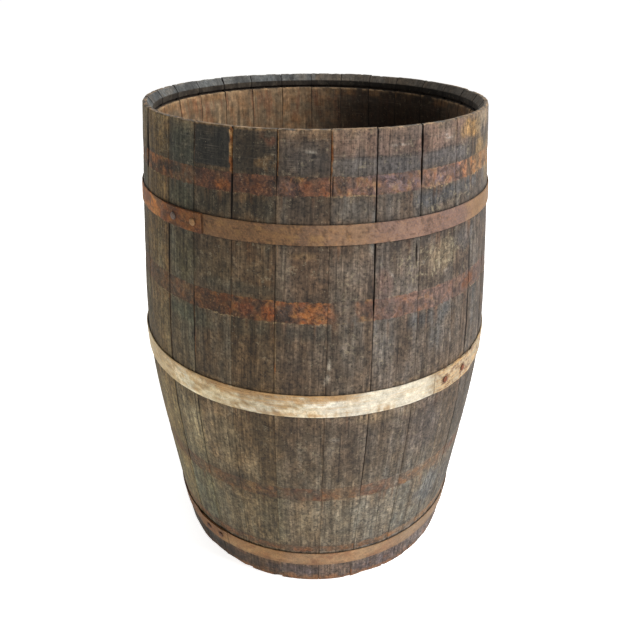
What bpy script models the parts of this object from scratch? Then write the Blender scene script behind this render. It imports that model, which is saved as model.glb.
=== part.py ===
"""Oak wine barrel, stood on end and open at the top.

Twenty-eight bowed staves are held by three riveted iron hoops. The bottom head, six bevelled boards, sits in the
croze. The bung closes a hole in the widest part of the bung stave. Metres, +Z up. The origin is on the barrel's axis
at floor level. Angles are degrees round the axis, from the front (-Y) towards the right (+X).
"""

from math import atan2, cos, degrees, pi, radians, sin, sqrt, tan

import bmesh
import bpy
from mathutils import Matrix, Vector

# Driving dimensions
HEIGHT = 0.950
HEAD_RADIUS = 0.3171  # outside, at the stave ends
BILGE_RADIUS = 0.3592  # outside, at mid height
BOW = 0.25  # smaller is a sharper belly
LEAN = 2.7  # degrees that the staves' feet trail their tops

STAVE_THICKNESS = 0.026
STAVE_STEPS = 2  # facets across one stave
JOINT_GAP = 0.0004
OPEN_JOINT_GAP = 0.0012  # where the wood has shrunk

CHIME_CORNER = 0.002  # worn outer corner of a stave end
CHIME_FLAT = 0.008  # outside to the start of the bevel
CHIME_BEVEL = 0.013  # height of the bevel inside the end
HOWEL_DEPTH = 0.018  # outside to the howel face
CROZE_START = 0.0243  # from the stave end
CROZE_WIDTH = 0.0046
CROZE_DEPTH = 0.0052
CROZE_LIP = 0.022  # outside to the lip below the croze
LIP_END = 0.057

HEAD_CLEARANCE = 0.0003
HEAD_THICKNESS = 0.020
HEAD_BEVEL_IN = 0.034
HEAD_BEVEL_OUT = 0.016
HEAD_JOINTS = (-0.205, -0.102, 0.004, 0.098, 0.196)

HOOP_THICKNESS = 0.0020
HOOP_CLEARANCE = 0.0004
LAP_CLEARANCE = 0.0003
LAP_RAMP = 4.0  # degrees over which the strip climbs onto itself

# name, bottom edge, top edge, direction of the strip, hidden inner end, visible outer end, rivets
HOOPS = (
    ("quarter_hoop", 0.779, 0.811, 1, -48.6, -32.7, (-44.1, -35.9)),
    ("bilge_hoop", 0.469, 0.514, -1, 55.2, 37.1, (50.5, 41.4)),
    ("bottom_hoop", 0.057, 0.093, 1, -49.4, -35.0, (-45.2, -38.4)),
)

RIVET_HEAD_RADIUS = 0.0068
RIVET_HEAD_HEIGHT = 0.0030
RIVET_SHANK_RADIUS = 0.0032
RIVET_HOLE_RADIUS = 0.0035

BUNG_HEIGHT = 0.425
BUNG_OUTER_RADIUS = 0.0255
BUNG_INNER_RADIUS = 0.0235
BUNG_PROUD = 0.0024
BUNG_LENGTH = 0.036
BUNG_CLEARANCE = 0.0003
BUNG_SIDES = 32

# Joints between staves, at the top end, going round once from the left front
JOINTS = (
    -63.2, -47.3, -35.9, -22.9, -10.2, 4.1, 16.7, 30.6, 44.6, 53.8, 66.4, 80.5, 93.0, 105.3,
    117.5, 129.8, 143.3, 155.9, 168.6, 181.8, 195.0, 208.6, 222.0, 235.3, 249.0, 262.4, 276.0, 286.0,
)  # fmt: skip
OPEN_JOINTS = (-63.2, -22.9, 16.7, 30.6, 235.3, 249.0, 262.4, 276.0)
BUNG_STAVE = 18  # the stave that starts at joint number 18, counting from 0

# Outside heights at which the bow is sampled, hoop edges included
STATIONS = (
    0.057, 0.093, 0.170, 0.250, 0.330, 0.405, 0.469, 0.514, 0.585, 0.660, 0.720, 0.779, 0.811, 0.893,
)  # fmt: skip


def outside(z):
    """Outside radius at height z."""
    u = abs(2 * z / HEIGHT - 1)
    sweep = (sqrt(u * u + BOW * BOW) - BOW) / (sqrt(1 + BOW * BOW) - BOW)
    return BILGE_RADIUS - (BILGE_RADIUS - HEAD_RADIUS) * sweep


def lean_at(z):
    return -LEAN * (1 - z / HEIGHT)


def round_axis(angle, radius, z):
    a = radians(angle)
    return Vector((radius * sin(a), -radius * cos(a), z))


# Scene, collections, materials


for obj in list(bpy.data.objects):
    bpy.data.objects.remove(obj, do_unlink=True)


def collection(name):
    made = bpy.data.collections.new(name)
    bpy.context.scene.collection.children.link(made)
    return made


BARREL = collection("oak_wine_barrel")
CUTTERS = collection("cutters")
CUTTERS.hide_render = True


def material(name, colour, roughness, metallic=0.0):
    made = bpy.data.materials.new(name)
    made.use_nodes = True
    shader = made.node_tree.nodes["Principled BSDF"]
    shader.inputs["Base Color"].default_value = (*colour, 1)
    shader.inputs["Roughness"].default_value = roughness
    shader.inputs["Metallic"].default_value = metallic
    made.diffuse_color = (*colour, 1)
    return made


def add(name, mesh, look, group=BARREL):
    mesh.name = name
    obj = bpy.data.objects.new(name, mesh)
    if look:
        mesh.materials.clear()
        mesh.materials.append(look)
    group.objects.link(obj)
    return obj


def mesh_of(bm):
    bmesh.ops.recalc_face_normals(bm, faces=bm.faces)
    mesh = bpy.data.meshes.new("mesh")
    bm.to_mesh(mesh)
    bm.free()
    mesh.shade_smooth()
    mesh.set_sharp_from_angle(angle=radians(24))
    return mesh


def cutter(name, mesh):
    obj = add(name, mesh, None, CUTTERS)
    obj.hide_render = True
    obj.display_type = "WIRE"
    return obj


def boolean(obj, operation, other):
    made = obj.modifiers.new(operation.lower(), "BOOLEAN")
    made.operation = operation
    made.solver = "EXACT"
    made.object = other


def turned(points, sides, name, look, group=BARREL):
    """A profile of (radius, height) points, top to bottom, turned about local Z."""
    mesh = bpy.data.meshes.new(name)
    mesh.from_pydata([(r, 0, z) for r, z in points], [(i, i + 1) for i in range(len(points) - 1)], [])
    obj = add(name, mesh, look, group)
    screw = obj.modifiers.new("turn", "SCREW")
    screw.axis = "Z"
    screw.angle = 2 * pi
    screw.steps = screw.render_steps = sides
    screw.use_merge_vertices = True
    screw.merge_threshold = 0.00001
    screw.use_smooth_shade = True
    return obj


# Staves: a radial section, swept round the axis by one stave's width, then leaned


def end_section(z_of):
    """Corners of one end of the section: the outside ones, then the inside ones. z_of turns a distance from the end into a height."""
    outer = [
        (outside(z_of(0)) - CHIME_CORNER, z_of(0)),
        (outside(z_of(CHIME_CORNER)), z_of(CHIME_CORNER)),
    ]
    croze_end = CROZE_START + CROZE_WIDTH
    inner = [
        (outside(z_of(0)) - CHIME_FLAT, z_of(0)),
        (outside(z_of(CHIME_BEVEL)) - HOWEL_DEPTH, z_of(CHIME_BEVEL)),
        (outside(z_of(CROZE_START)) - HOWEL_DEPTH, z_of(CROZE_START)),
        (outside(z_of(CROZE_START)) - HOWEL_DEPTH + CROZE_DEPTH, z_of(CROZE_START)),
        (outside(z_of(croze_end)) - HOWEL_DEPTH + CROZE_DEPTH, z_of(croze_end)),
        (outside(z_of(croze_end)) - CROZE_LIP, z_of(croze_end)),
    ]
    return outer, inner


def stave_section(bm):
    """The section as a ladder of faces in the XZ plane, so that it stays true when it leans."""
    made = {}

    def corner(point):
        r, z = point
        key = (round(r, 7), round(z, 7))
        if key not in made:
            made[key] = bm.verts.new((r, 0, z))
        return made[key]

    rungs = [((outside(z), z), (outside(z) - STAVE_THICKNESS, z)) for z in STATIONS]
    for z_of, rung in ((lambda d: d, rungs[0]), (lambda d: HEIGHT - d, rungs[-1])):
        outer, inner = end_section(z_of)
        bm.faces.new([corner(p) for p in [*outer, rung[0], rung[1], *reversed(inner)]])
    for low, high in zip(rungs, rungs[1:]):
        bm.faces.new([corner(p) for p in (low[0], high[0], high[1], low[1])])


def gap_at(joint):
    wide = joint in OPEN_JOINTS
    return degrees((OPEN_JOINT_GAP if wide else JOINT_GAP) / BILGE_RADIUS)


def stave_mesh(start, end):
    bm = bmesh.new()
    stave_section(bm)
    bmesh.ops.recalc_face_normals(bm, faces=bm.faces)
    bmesh.ops.rotate(bm, verts=bm.verts, cent=(0, 0, 0), matrix=Matrix.Rotation(radians(start - 90), 3, "Z"))
    bmesh.ops.spin(
        bm,
        geom=[*bm.verts, *bm.edges, *bm.faces],
        cent=(0, 0, 0),
        axis=(0, 0, 1),
        dvec=(0, 0, 0),
        angle=radians(end - start),
        steps=STAVE_STEPS,
        use_duplicate=False,
    )
    for v in bm.verts:
        v.co = Matrix.Rotation(radians(lean_at(v.co.z)), 3, "Z") @ v.co
    return mesh_of(bm)


STAVE_TONES = ((0.23, 0.19, 0.155), (0.20, 0.17, 0.145), (0.25, 0.20, 0.16), (0.21, 0.185, 0.165))
staves = []
for number, start in enumerate(JOINTS):
    end = JOINTS[number + 1] if number + 1 < len(JOINTS) else JOINTS[0] + 360
    closing = JOINTS[(number + 1) % len(JOINTS)]
    name = "bung_stave" if number == BUNG_STAVE else f"stave_{number + 1:02d}"
    look = material(f"{name}_oak", STAVE_TONES[number % 4], 0.82)
    staves.append(add(name, stave_mesh(start + gap_at(start) / 2, end - gap_at(closing) / 2), look))


# Hoops: a strip that runs once round the barrel and laps over its own end, with two rivets through the lap


def facet_angles(z):
    """Angles of the staves' facet edges at height z, over one turn."""
    found = []
    for number, start in enumerate(JOINTS):
        end = JOINTS[number + 1] if number + 1 < len(JOINTS) else JOINTS[0] + 360
        found += [start + (end - start) * k / STAVE_STEPS + lean_at(z) for k in range(STAVE_STEPS)]
    return found


def strip_columns(low, high, way, inner_end, outer_end):
    """(angle, lift) along the strip, from its hidden end to its visible end."""
    facets = [a + turn for a in facet_angles((low + high) / 2) for turn in (-720, -360, 0, 360, 720)]
    last = outer_end + 360 * way
    lift = HOOP_THICKNESS + LAP_CLEARANCE
    over = inner_end + 360 * way - 0.5 * way
    ramp = over - LAP_RAMP * way
    between = [a for a in facets if (a - inner_end) * way > 0.4 and (last - a) * way > 0.4]
    between = [a for a in between if not (ramp - 0.4 * way) * way < a * way < (over + 0.4 * way) * way]
    columns = []
    for a in sorted([*between, inner_end, last, ramp, over], key=lambda a: a * way):
        columns.append((a, lift if (a - over) * way > -1e-6 else 0.0))
    return columns


def strip_mesh(low, high, columns):
    bm = bmesh.new()
    rows = []
    for z in (low, high):
        rows.append([bm.verts.new(round_axis(a, outside(z) + HOOP_CLEARANCE + lift, z)) for a, lift in columns])
    for i in range(len(columns) - 1):
        bm.faces.new((rows[0][i], rows[0][i + 1], rows[1][i + 1], rows[1][i]))
    mesh = bpy.data.meshes.new("strip")
    bm.to_mesh(mesh)
    bm.free()
    mesh.shade_smooth()
    mesh.set_sharp_from_angle(angle=radians(24))
    return mesh


def rivet_seat(low, high, columns, angle, way):
    """Where the rivet's axis meets the strip's outer layer on its inner side, and the axis."""
    z = (low + high) / 2
    radius = (outside(low) + outside(high)) / 2 + HOOP_CLEARANCE
    wanted = angle + 360 * way
    for (a, lift), (b, _) in zip(columns, columns[1:]):
        if min(a, b) <= wanted <= max(a, b):
            middle, half = (a + b) / 2, abs(b - a) / 2
            away = (radius + lift) * cos(radians(half))
            flat = round_axis(middle, away, z) + round_axis(middle + 90, away * tan(radians(wanted - middle)), 0)
            slope = atan2(outside(high) - outside(low), high - low)
            return flat, (round_axis(middle, cos(slope), -sin(slope))).normalized()
    raise ValueError("the rivet is off the strip")


def facing(obj, seat, axis):
    obj.matrix_world = Matrix.Translation(seat) @ axis.to_track_quat("Z", "Y").to_matrix().to_4x4()


def rod_mesh(radius, length, sides=16):
    bm = bmesh.new()
    bmesh.ops.create_cone(bm, cap_ends=True, segments=sides, radius1=radius, radius2=radius, depth=length)
    return mesh_of(bm)


HOOP_LOOKS = {
    "quarter_hoop": ((0.16, 0.085, 0.055), 0.85, 0.2),
    "bilge_hoop": ((0.62, 0.58, 0.50), 0.6, 0.0),
    "bottom_hoop": ((0.30, 0.16, 0.085), 0.85, 0.2),
}
for name, low, high, way, inner_end, outer_end, rivets in HOOPS:
    colour, roughness, metallic = HOOP_LOOKS[name]
    columns = strip_columns(low, high, way, inner_end, outer_end)
    ordered = columns if way > 0 else columns[::-1]
    hoop = add(name, strip_mesh(low, high, ordered), material(f"{name}_iron", colour, roughness, metallic))
    solidify = hoop.modifiers.new("thickness", "SOLIDIFY")
    solidify.thickness = HOOP_THICKNESS
    solidify.offset = 1
    solidify.use_even_offset = True
    for count, angle in enumerate(rivets, 1):
        seat, axis = rivet_seat(low, high, columns, angle, way)
        hole = cutter(f"{name}_hole_{count}", rod_mesh(RIVET_HOLE_RADIUS, 0.02))
        facing(hole, seat, axis)
        boolean(hoop, "DIFFERENCE", hole)
        under = HOOP_THICKNESS + 0.00025  # underside of the head, above the outer layer
        foot = -(HOOP_THICKNESS + LAP_CLEARANCE) + 0.0001
        dome = [
            (RIVET_HEAD_RADIUS * sin(k * pi / 10), under + RIVET_HEAD_HEIGHT * (0.25 + 0.75 * cos(k * pi / 10)))
            for k in range(6)
        ]
        profile = [
            *dome,
            (RIVET_HEAD_RADIUS, under),
            (RIVET_SHANK_RADIUS, under),
            (RIVET_SHANK_RADIUS, foot),
            (0, foot),
        ]
        rivet_look = material(f"{name}_rivet_{count}_iron", (0.20, 0.11, 0.07), 0.85, 0.3)
        facing(turned(profile, 16, f"{name}_rivet_{count}", rivet_look), seat, axis)


# Bung: a tapered plug in a tapered hole, which pulls straight out


def bung_radius(depth):
    """Radius of the taper at a depth below the stave's outside."""
    return BUNG_OUTER_RADIUS - (BUNG_OUTER_RADIUS - BUNG_INNER_RADIUS) * depth / BUNG_LENGTH


bung_start, bung_end = JOINTS[BUNG_STAVE], JOINTS[BUNG_STAVE + 1]
# The hole is centred on the line between the stave's two facets
bung_angle = bung_start + (bung_end - bung_start) / 2 + lean_at(BUNG_HEIGHT)
bung_axis = round_axis(bung_angle, 1, 0)
bung_seat = round_axis(bung_angle, outside(BUNG_HEIGHT), BUNG_HEIGHT)
bung = turned(
    [
        (0, BUNG_PROUD),
        (bung_radius(-BUNG_PROUD) - 0.0015, BUNG_PROUD),
        (bung_radius(0.001), -0.001),
        (bung_radius(BUNG_LENGTH - 0.0015), -BUNG_LENGTH + 0.0015),
        (bung_radius(BUNG_LENGTH) - 0.0015, -BUNG_LENGTH),
        (0, -BUNG_LENGTH),
    ],
    BUNG_SIDES,
    "bung",
    material("bung_oak", (0.27, 0.17, 0.12), 0.75),
)
facing(bung, bung_seat, bung_axis)
bung_hole = turned(
    [
        (0, 0.01),
        (bung_radius(-0.01) + BUNG_CLEARANCE, 0.01),
        (bung_radius(BUNG_LENGTH + 0.01) + BUNG_CLEARANCE, -BUNG_LENGTH - 0.01),
        (0, -BUNG_LENGTH - 0.01),
    ],
    BUNG_SIDES,
    "bung_hole",
    None,
    CUTTERS,
)
bung_hole.hide_render = True
bung_hole.display_type = "WIRE"
facing(bung_hole, bung_seat, bung_axis)
boolean(staves[BUNG_STAVE], "DIFFERENCE", bung_hole)


# Bottom head: a disc with a bevelled edge, sawn into boards

widest = max(b - a for a, b in zip(JOINTS, JOINTS[1:]))
croze_middle = CROZE_START + CROZE_WIDTH / 2
flatten = cos(radians(widest / STAVE_STEPS / 2))  # middle of the widest facet, against its corners
croze_floor = (outside(CROZE_START) - HOWEL_DEPTH + CROZE_DEPTH) * flatten
head_radius = croze_floor - 0.0006
tongue = CROZE_WIDTH / 2 - HEAD_CLEARANCE
head_top = croze_middle + HEAD_THICKNESS * 0.62
head_bottom = croze_middle - HEAD_THICKNESS * 0.38
tongue_in = (outside(CROZE_START) - CROZE_LIP) * flatten
head_profile = [
    (0, head_top),
    (head_radius - HEAD_BEVEL_IN, head_top),
    (tongue_in - 0.0005, croze_middle + tongue),
    (head_radius, croze_middle + tongue),
    (head_radius, croze_middle - tongue),
    (tongue_in - 0.0005, croze_middle - tongue),
    (head_radius - HEAD_BEVEL_OUT, head_bottom),
    (0, head_bottom),
]
edges = (-head_radius - 0.02, *HEAD_JOINTS, head_radius + 0.02)
for number, (near, far) in enumerate(zip(edges, edges[1:]), 1):
    tone = STAVE_TONES[number % 4]
    board = turned(head_profile, 72, f"head_board_{number}", material(f"head_board_{number}_oak", tone, 0.85))
    bm = bmesh.new()
    bmesh.ops.create_cube(bm, size=1)
    width = far - near - 2 * HEAD_CLEARANCE / 2
    bmesh.ops.scale(bm, verts=bm.verts, vec=(2 * head_radius + 0.1, width, 0.1))
    bmesh.ops.translate(bm, verts=bm.verts, vec=(0, (near + far) / 2, croze_middle))
    saw = cutter(f"head_saw_{number}", mesh_of(bm))
    boolean(board, "INTERSECT", saw)
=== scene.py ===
"""Looks of the oak wine barrel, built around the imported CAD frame.

Every CAD node is replaced by a finer piece with the same place and size: staves with grain, worn arrises, checks and
chipped ends, hoops with rolled edges, laps and rust pits, hammered rivets, head boards and the bung. Angles are degrees
round the axis, from the front (-Y) towards the right (+X).
"""

from math import cos, degrees, pi, radians, sin, sqrt

import bpy
import numpy as np
from mathutils import Matrix, Vector


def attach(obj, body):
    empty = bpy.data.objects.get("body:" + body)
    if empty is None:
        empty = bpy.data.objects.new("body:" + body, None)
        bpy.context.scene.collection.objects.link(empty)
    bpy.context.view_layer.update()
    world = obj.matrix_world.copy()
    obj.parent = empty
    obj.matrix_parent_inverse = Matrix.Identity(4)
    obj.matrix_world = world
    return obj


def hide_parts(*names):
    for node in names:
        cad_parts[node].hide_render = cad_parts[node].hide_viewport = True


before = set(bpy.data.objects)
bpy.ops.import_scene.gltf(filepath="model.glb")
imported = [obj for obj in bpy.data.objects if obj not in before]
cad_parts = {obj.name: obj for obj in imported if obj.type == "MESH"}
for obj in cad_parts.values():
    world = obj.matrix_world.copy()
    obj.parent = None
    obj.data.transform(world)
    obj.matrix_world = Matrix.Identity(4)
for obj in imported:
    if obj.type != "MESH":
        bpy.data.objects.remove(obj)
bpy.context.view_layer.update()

# Dimensions, as in the CAD model

HEIGHT = 0.950
HEAD_RADIUS = 0.3171
BILGE_RADIUS = 0.3592
BOW = 0.25
LEAN = 2.7
JOINTS = [
    -63.2, -47.3, -35.9, -22.9, -10.2, 4.1, 16.7, 30.6, 44.6, 53.8, 66.4, 80.5, 93.0, 105.3,
    117.5, 129.8, 143.3, 155.9, 168.6, 181.8, 195.0, 208.6, 222.0, 235.3, 249.0, 262.4, 276.0, 286.0,
]
BUNG_STAVE = 18
JOINT_GAP = 0.0004
HEAD_RADIUS_AT_CROZE = 0.3054
HEAD_TOP, HEAD_BOTTOM, CROZE_MIDDLE = 0.0390, 0.0190, 0.0266
HEAD_JOINTS = (-0.205, -0.102, 0.004, 0.098, 0.196)
HOOPS = (
    ("quarter_hoop", 0.779, 0.811, 1, -48.6, -32.7, (-44.1, -35.9)),
    ("bilge_hoop", 0.469, 0.514, -1, 55.2, 37.1, (50.5, 41.4)),
    ("bottom_hoop", 0.057, 0.093, 1, -49.4, -35.0, (-45.2, -38.4)),
)
HOOP_THICKNESS = 0.0020
LAP_LIFT = 0.0023
LAP_RAMP = 4.0
BUNG_HEIGHT = 0.425
BUNG_OUTER_RADIUS, BUNG_INNER_RADIUS, BUNG_PROUD, BUNG_LENGTH = 0.0255, 0.0235, 0.0024, 0.036

mm = 0.001


def outside(z):
    u = np.abs(2 * np.asarray(z, float) / HEIGHT - 1)
    return BILGE_RADIUS - (BILGE_RADIUS - HEAD_RADIUS) * (np.sqrt(u * u + BOW * BOW) - BOW) / (sqrt(1 + BOW * BOW) - BOW)


def lean_at(z):
    return -LEAN * (1 - np.asarray(z, float) / HEIGHT)


# Noise: value noise on a hashed lattice, the same on every run


def lattice(ix, iy, iz, seed):
    h = (ix * 0x8DA6B343) ^ (iy * 0x58163841) ^ (iz * 0x4B1AB31F) ^ (seed * 0x1E3779B1)
    h = h & 0xFFFFFFFF
    h = h ^ (h >> 15)
    h = (h * 0x2C1B3C6D) & 0xFFFFFFFF
    h = h ^ (h >> 12)
    h = (h * 0x297A2D39) & 0xFFFFFFFF
    h = h ^ (h >> 15)
    return h / 2147483647.5 - 1.0


def noise(x, y, z=0.0, seed=0):
    x, y, z = np.broadcast_arrays(np.asarray(x, float), np.asarray(y, float), np.asarray(z, float))
    ix, iy, iz = np.floor(x).astype(np.int64), np.floor(y).astype(np.int64), np.floor(z).astype(np.int64)
    fx, fy, fz = x - ix, y - iy, z - iz
    ux, uy, uz = (f * f * f * (f * (f * 6 - 15) + 10) for f in (fx, fy, fz))

    def mix(a, b, t):
        return a + (b - a) * t

    def plane(k):
        low = mix(lattice(ix, iy, iz + k, seed), lattice(ix + 1, iy, iz + k, seed), ux)
        high = mix(lattice(ix, iy + 1, iz + k, seed), lattice(ix + 1, iy + 1, iz + k, seed), ux)
        return mix(low, high, uy)

    return mix(plane(0), plane(1), uz)


def fbm(x, y, z=0.0, seed=0, octaves=4, gain=0.55):
    total, size, reach = 0.0, 1.0, 0.0
    for k in range(octaves):
        f = 2.03**k
        total = total + size * noise(np.asarray(x) * f, np.asarray(y) * f, np.asarray(z) * f, seed + 17 * k)
        reach += size
        size *= gain
    return total / reach * 1.6


def smooth(a, b, x):
    t = np.clip((np.asarray(x, float) - a) / (b - a), 0, 1)
    return t * t * (3 - 2 * t)


def band(x, low, high, edge):
    return smooth(low - edge, low + edge, x) * (1 - smooth(high - edge, high + edge, x))


def blend(a, b, t):
    t = np.asarray(t)[..., None]
    return a + (b - a) * np.clip(t, 0, 1)


def rgb(r, g, b):
    return np.array([r, g, b], float) / 255


def to_linear(c):
    c = np.clip(c, 0, 1)
    return np.where(c <= 0.04045, c / 12.92, ((c + 0.055) / 1.055) ** 2.4)


# Meshes from arrays


def build_mesh(name, points, faces, attributes, sharp=50):
    """faces: list of integer arrays, each (count, corners). attributes: name -> (count, 3) array; those whose name starts with c are colours."""
    mesh = bpy.data.meshes.new(name)
    mesh.vertices.add(len(points))
    mesh.vertices.foreach_set("co", np.asarray(points, np.float32).ravel())
    loops = np.concatenate([f.ravel() for f in faces]).astype(np.int32)
    sizes = np.concatenate([np.full(len(f), f.shape[1]) for f in faces]).astype(np.int32)
    mesh.loops.add(len(loops))
    mesh.loops.foreach_set("vertex_index", loops)
    mesh.polygons.add(len(sizes))
    mesh.polygons.foreach_set("loop_start", np.concatenate([[0], np.cumsum(sizes)[:-1]]).astype(np.int32))
    mesh.update(calc_edges=True)
    mesh.validate()
    write_attributes(mesh, attributes)
    mesh.shade_smooth()
    mesh.set_sharp_from_angle(angle=radians(sharp))
    return mesh


def write_attributes(mesh, attributes):
    for key, values in attributes.items():
        values = np.asarray(values, np.float32)
        if key.startswith("c"):
            made = mesh.attributes.new(key, "FLOAT_COLOR", "POINT")
            rgba = np.ones((len(values), 4), np.float32)
            rgba[:, :3] = values
            made.data.foreach_set("color", rgba.ravel())
        else:
            made = mesh.attributes.new(key, "FLOAT_VECTOR", "POINT")
            made.data.foreach_set("vector", values.ravel())


def add_piece(name, mesh, material, body, node):
    obj = bpy.data.objects.new(name, mesh)
    bpy.context.scene.collection.objects.link(obj)
    mesh.materials.append(material)
    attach(obj, body)
    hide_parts(node)
    return obj


def grid_faces(rows, columns, close_rows=True):
    """Quads of a grid whose vertex (i, j) is i * columns + j. close_rows joins the last row to the first."""
    i = np.arange(rows if close_rows else rows - 1)
    j = np.arange(columns - 1)
    a = (i[:, None] * columns + j[None, :]).ravel()
    b = ((i[:, None] + 1) % rows * columns + j[None, :]).ravel()
    return np.stack([a, b, b + 1, a + 1], axis=1)


def strip_between(left, right, left_z, right_z):
    """Triangles between two chains of vertices that share their heights' direction."""
    made, i, j = [], 0, 0
    while i < len(left) - 1 or j < len(right) - 1:
        if j == len(right) - 1 or (i < len(left) - 1 and left_z[i + 1] <= right_z[j + 1]):
            made.append((left[i], right[j], left[i + 1]))
            i += 1
        else:
            made.append((left[i], right[j], right[j + 1]))
            j += 1
    return np.array(made)


# The section of a stave, as a closed loop of (depth below the outside, distance from the end)

END = [
    (0.0, 4.6), (0.0, 3.0), (0.08, 2.0), (0.3, 1.2), (0.75, 0.55), (1.35, 0.15), (2.1, 0.0), (3.6, 0.0), (5.2, 0.0), (6.9, 0.0),
    (7.7, 0.15), (8.3, 0.7), (9.6, 2.4), (11.4, 4.7), (13.2, 7.0), (15.0, 9.3), (16.7, 11.5), (17.7, 12.8), (18.0, 14.2),
    (18.0, 17.0), (18.0, 20.0), (18.0, 23.0), (17.6, 24.2), (15.4, 24.4), (12.8, 24.4), (12.8, 26.6), (12.8, 28.8),
    (16.6, 28.9), (20.4, 28.9), (21.6, 29.3), (22.0, 30.2),
    (22.2, 33.0), (22.7, 37.0), (23.3, 41.0), (23.9, 45.0), (24.6, 49.5), (25.4, 54.0), (26.0, 58.0),
]  # fmt: skip
OUTSIDE, FLAT, BEVEL, HOWEL, CROZE, LIP, WALL = range(7)


def end_kind(depth, distance):
    if depth <= 1.0 and distance > 0.3:
        return OUTSIDE
    if distance <= 0.2:
        return FLAT
    if distance < 13.0:
        return BEVEL
    if distance < 24.3:
        return HOWEL
    if distance < 28.95 and depth < 20:
        return CROZE
    return LIP


def section():
    """depth, height, kind and distance from the nearer end, round the loop: up the outside, over the top, down the inside."""
    z = np.arange(0.010, 0.884, 0.0052)
    z = np.concatenate([z, np.arange(0.8845, HEIGHT - 0.0055, 0.0028)])
    for edge in (0.898, 0.929, 0.682, 0.721, 0.270, 0.305):
        z = np.concatenate([z, [edge * HEIGHT - 0.0009, edge * HEIGHT + 0.0009]])
    z = np.unique(np.round(z, 4))
    z = z[np.concatenate([[True], np.diff(z) > 0.0007])]
    low_outside = [(d, t * mm, OUTSIDE) for d, t in END if end_kind(d, t) == OUTSIDE][::-1]
    top = [(d, HEIGHT - t * mm, end_kind(d, t)) for d, t in END]
    wall = [(26.0, h, WALL) for h in np.arange(HEIGHT - 0.067, 0.063, -0.0092)]
    low = [(d, t * mm, end_kind(d, t)) for d, t in reversed(END) if end_kind(d, t) != OUTSIDE]
    loop = [*low_outside, *[(0.0, h, OUTSIDE) for h in z], *top, *wall, *low]
    depth = np.array([p[0] for p in loop]) * mm
    height = np.array([p[1] for p in loop])
    kind = np.array([p[2] for p in loop])
    away = np.minimum(height, HEIGHT - height)
    radius = outside(height) - depth
    dr = np.roll(radius, -1) - np.roll(radius, 1)
    dz = np.roll(height, -1) - np.roll(height, 1)
    size = np.hypot(dr, dz)
    return depth, height, kind, away, dz / size, -dr / size


DEPTH, ROW_Z, KIND, AWAY, NORMAL_R, NORMAL_Z = section()

# What wear the joints and staves show. Heights are shares of the barrel's height

# joint number: list of (low, high, half width of the opening in mm)
OPENINGS = {
    0: [(0.0, 0.90, 0.15), (0.90, 1.0, 4.0)],
    1: [(0.0, 0.27, 0.3), (0.27, 0.84, 1.15), (0.84, 0.905, 0.5), (0.905, 1.0, 0.06)],
    2: [(0.0, 0.30, 0.25), (0.30, 0.45, 0.45), (0.45, 0.70, 0.75), (0.70, 0.91, 0.4), (0.91, 1.0, 0.25)],
    3: [(0.0, 0.72, 0.10), (0.72, 0.80, 0.3), (0.80, 0.86, 0.55), (0.86, 1.0, 1.15)],
    4: [(0.0, 0.52, 0.05), (0.52, 0.80, 0.35), (0.80, 0.90, 0.1), (0.90, 1.0, 0.4)],
    5: [(0.0, 0.45, 0.10), (0.45, 0.90, 0.05), (0.90, 1.0, 0.3)],
    6: [(0.0, 0.30, 0.1), (0.30, 0.50, 0.35), (0.50, 0.70, 0.3), (0.70, 1.0, 0.8)],
    7: [(0.0, 0.48, 0.1), (0.48, 0.84, 0.05), (0.84, 0.91, 0.3), (0.91, 1.0, 1.4)],
    8: [(0.0, 0.22, 0.4), (0.22, 1.0, 0.05)],
    9: [(0.0, 0.25, 0.2), (0.25, 0.40, 0.9), (0.40, 0.56, 0.4), (0.56, 0.78, 1.1), (0.78, 1.0, 0.08)],
    10: [(0.0, 0.55, 0.3), (0.55, 0.73, 1.3), (0.73, 1.0, 0.2)],
    11: [(0.0, 0.9, 0.2), (0.9, 1.0, 1.2)],
    12: [(0.0, 0.9, 0.4), (0.9, 1.0, 1.4)],
    22: [(0.0, 0.9, 0.4), (0.9, 1.0, 1.3)],
    23: [(0.0, 0.9, 0.3), (0.9, 1.0, 0.3)],
    24: [(0.0, 0.9, 0.6), (0.9, 1.0, 1.7)],
    25: [(0.0, 0.9, 0.4), (0.9, 1.0, 1.5)],
    26: [(0.0, 0.9, 0.3), (0.9, 1.0, 1.4)],
    27: [(0.0, 0.9, 0.2), (0.9, 1.0, 0.5)],
}
# (joint, side of the joint, low, high, width in mm): an arris split off, with fresh wood showing
SPLITS = [
    (2, "right", 0.955, 1.00, 2.2),
    (3, "left", 0.928, 0.998, 4.2),
    (4, "right", 0.925, 1.0, 3.0),
    (5, "right", 0.930, 1.0, 3.2),
    (7, "left", 0.925, 0.95, 1.6),
    (14, "right", 0.94, 1.0, 3.0),
    (20, "left", 0.93, 1.0, 2.6),
    (17, "left", 0.02, 0.07, 3.0),
    (6, "right", 0.0, 0.03, 2.5),
]
# (stave, millimetres from its left edge, low, high, half width mm, depth mm)
CHECKS = [
    (4, 22.0, 0.826, 0.858, 1.0, 2.6),
    (5, 3.6, 0.893, 0.935, 1.1, 2.8),
    (6, 76.0, 0.765, 0.816, 1.3, 3.2),
    (7, 52.0, 0.855, 0.880, 1.3, 2.8),
    (7, 30.0, 0.02, 0.060, 1.2, 3.0),
    (8, 30.0, 0.60, 0.66, 0.9, 1.6),
    (12, 30.0, 0.62, 0.80, 1.0, 2.6),
    (14, 50.0, 0.20, 0.42, 0.9, 2.2),
    (16, 28.0, 0.84, 0.99, 1.1, 3.0),
    (20, 40.0, 0.55, 0.72, 1.0, 2.4),
    (22, 34.0, 0.10, 0.26, 1.0, 2.4),
    (23, 55.0, 0.86, 1.0, 1.0, 2.8),
    (25, 30.0, 0.34, 0.46, 0.9, 2.0),
]

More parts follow.
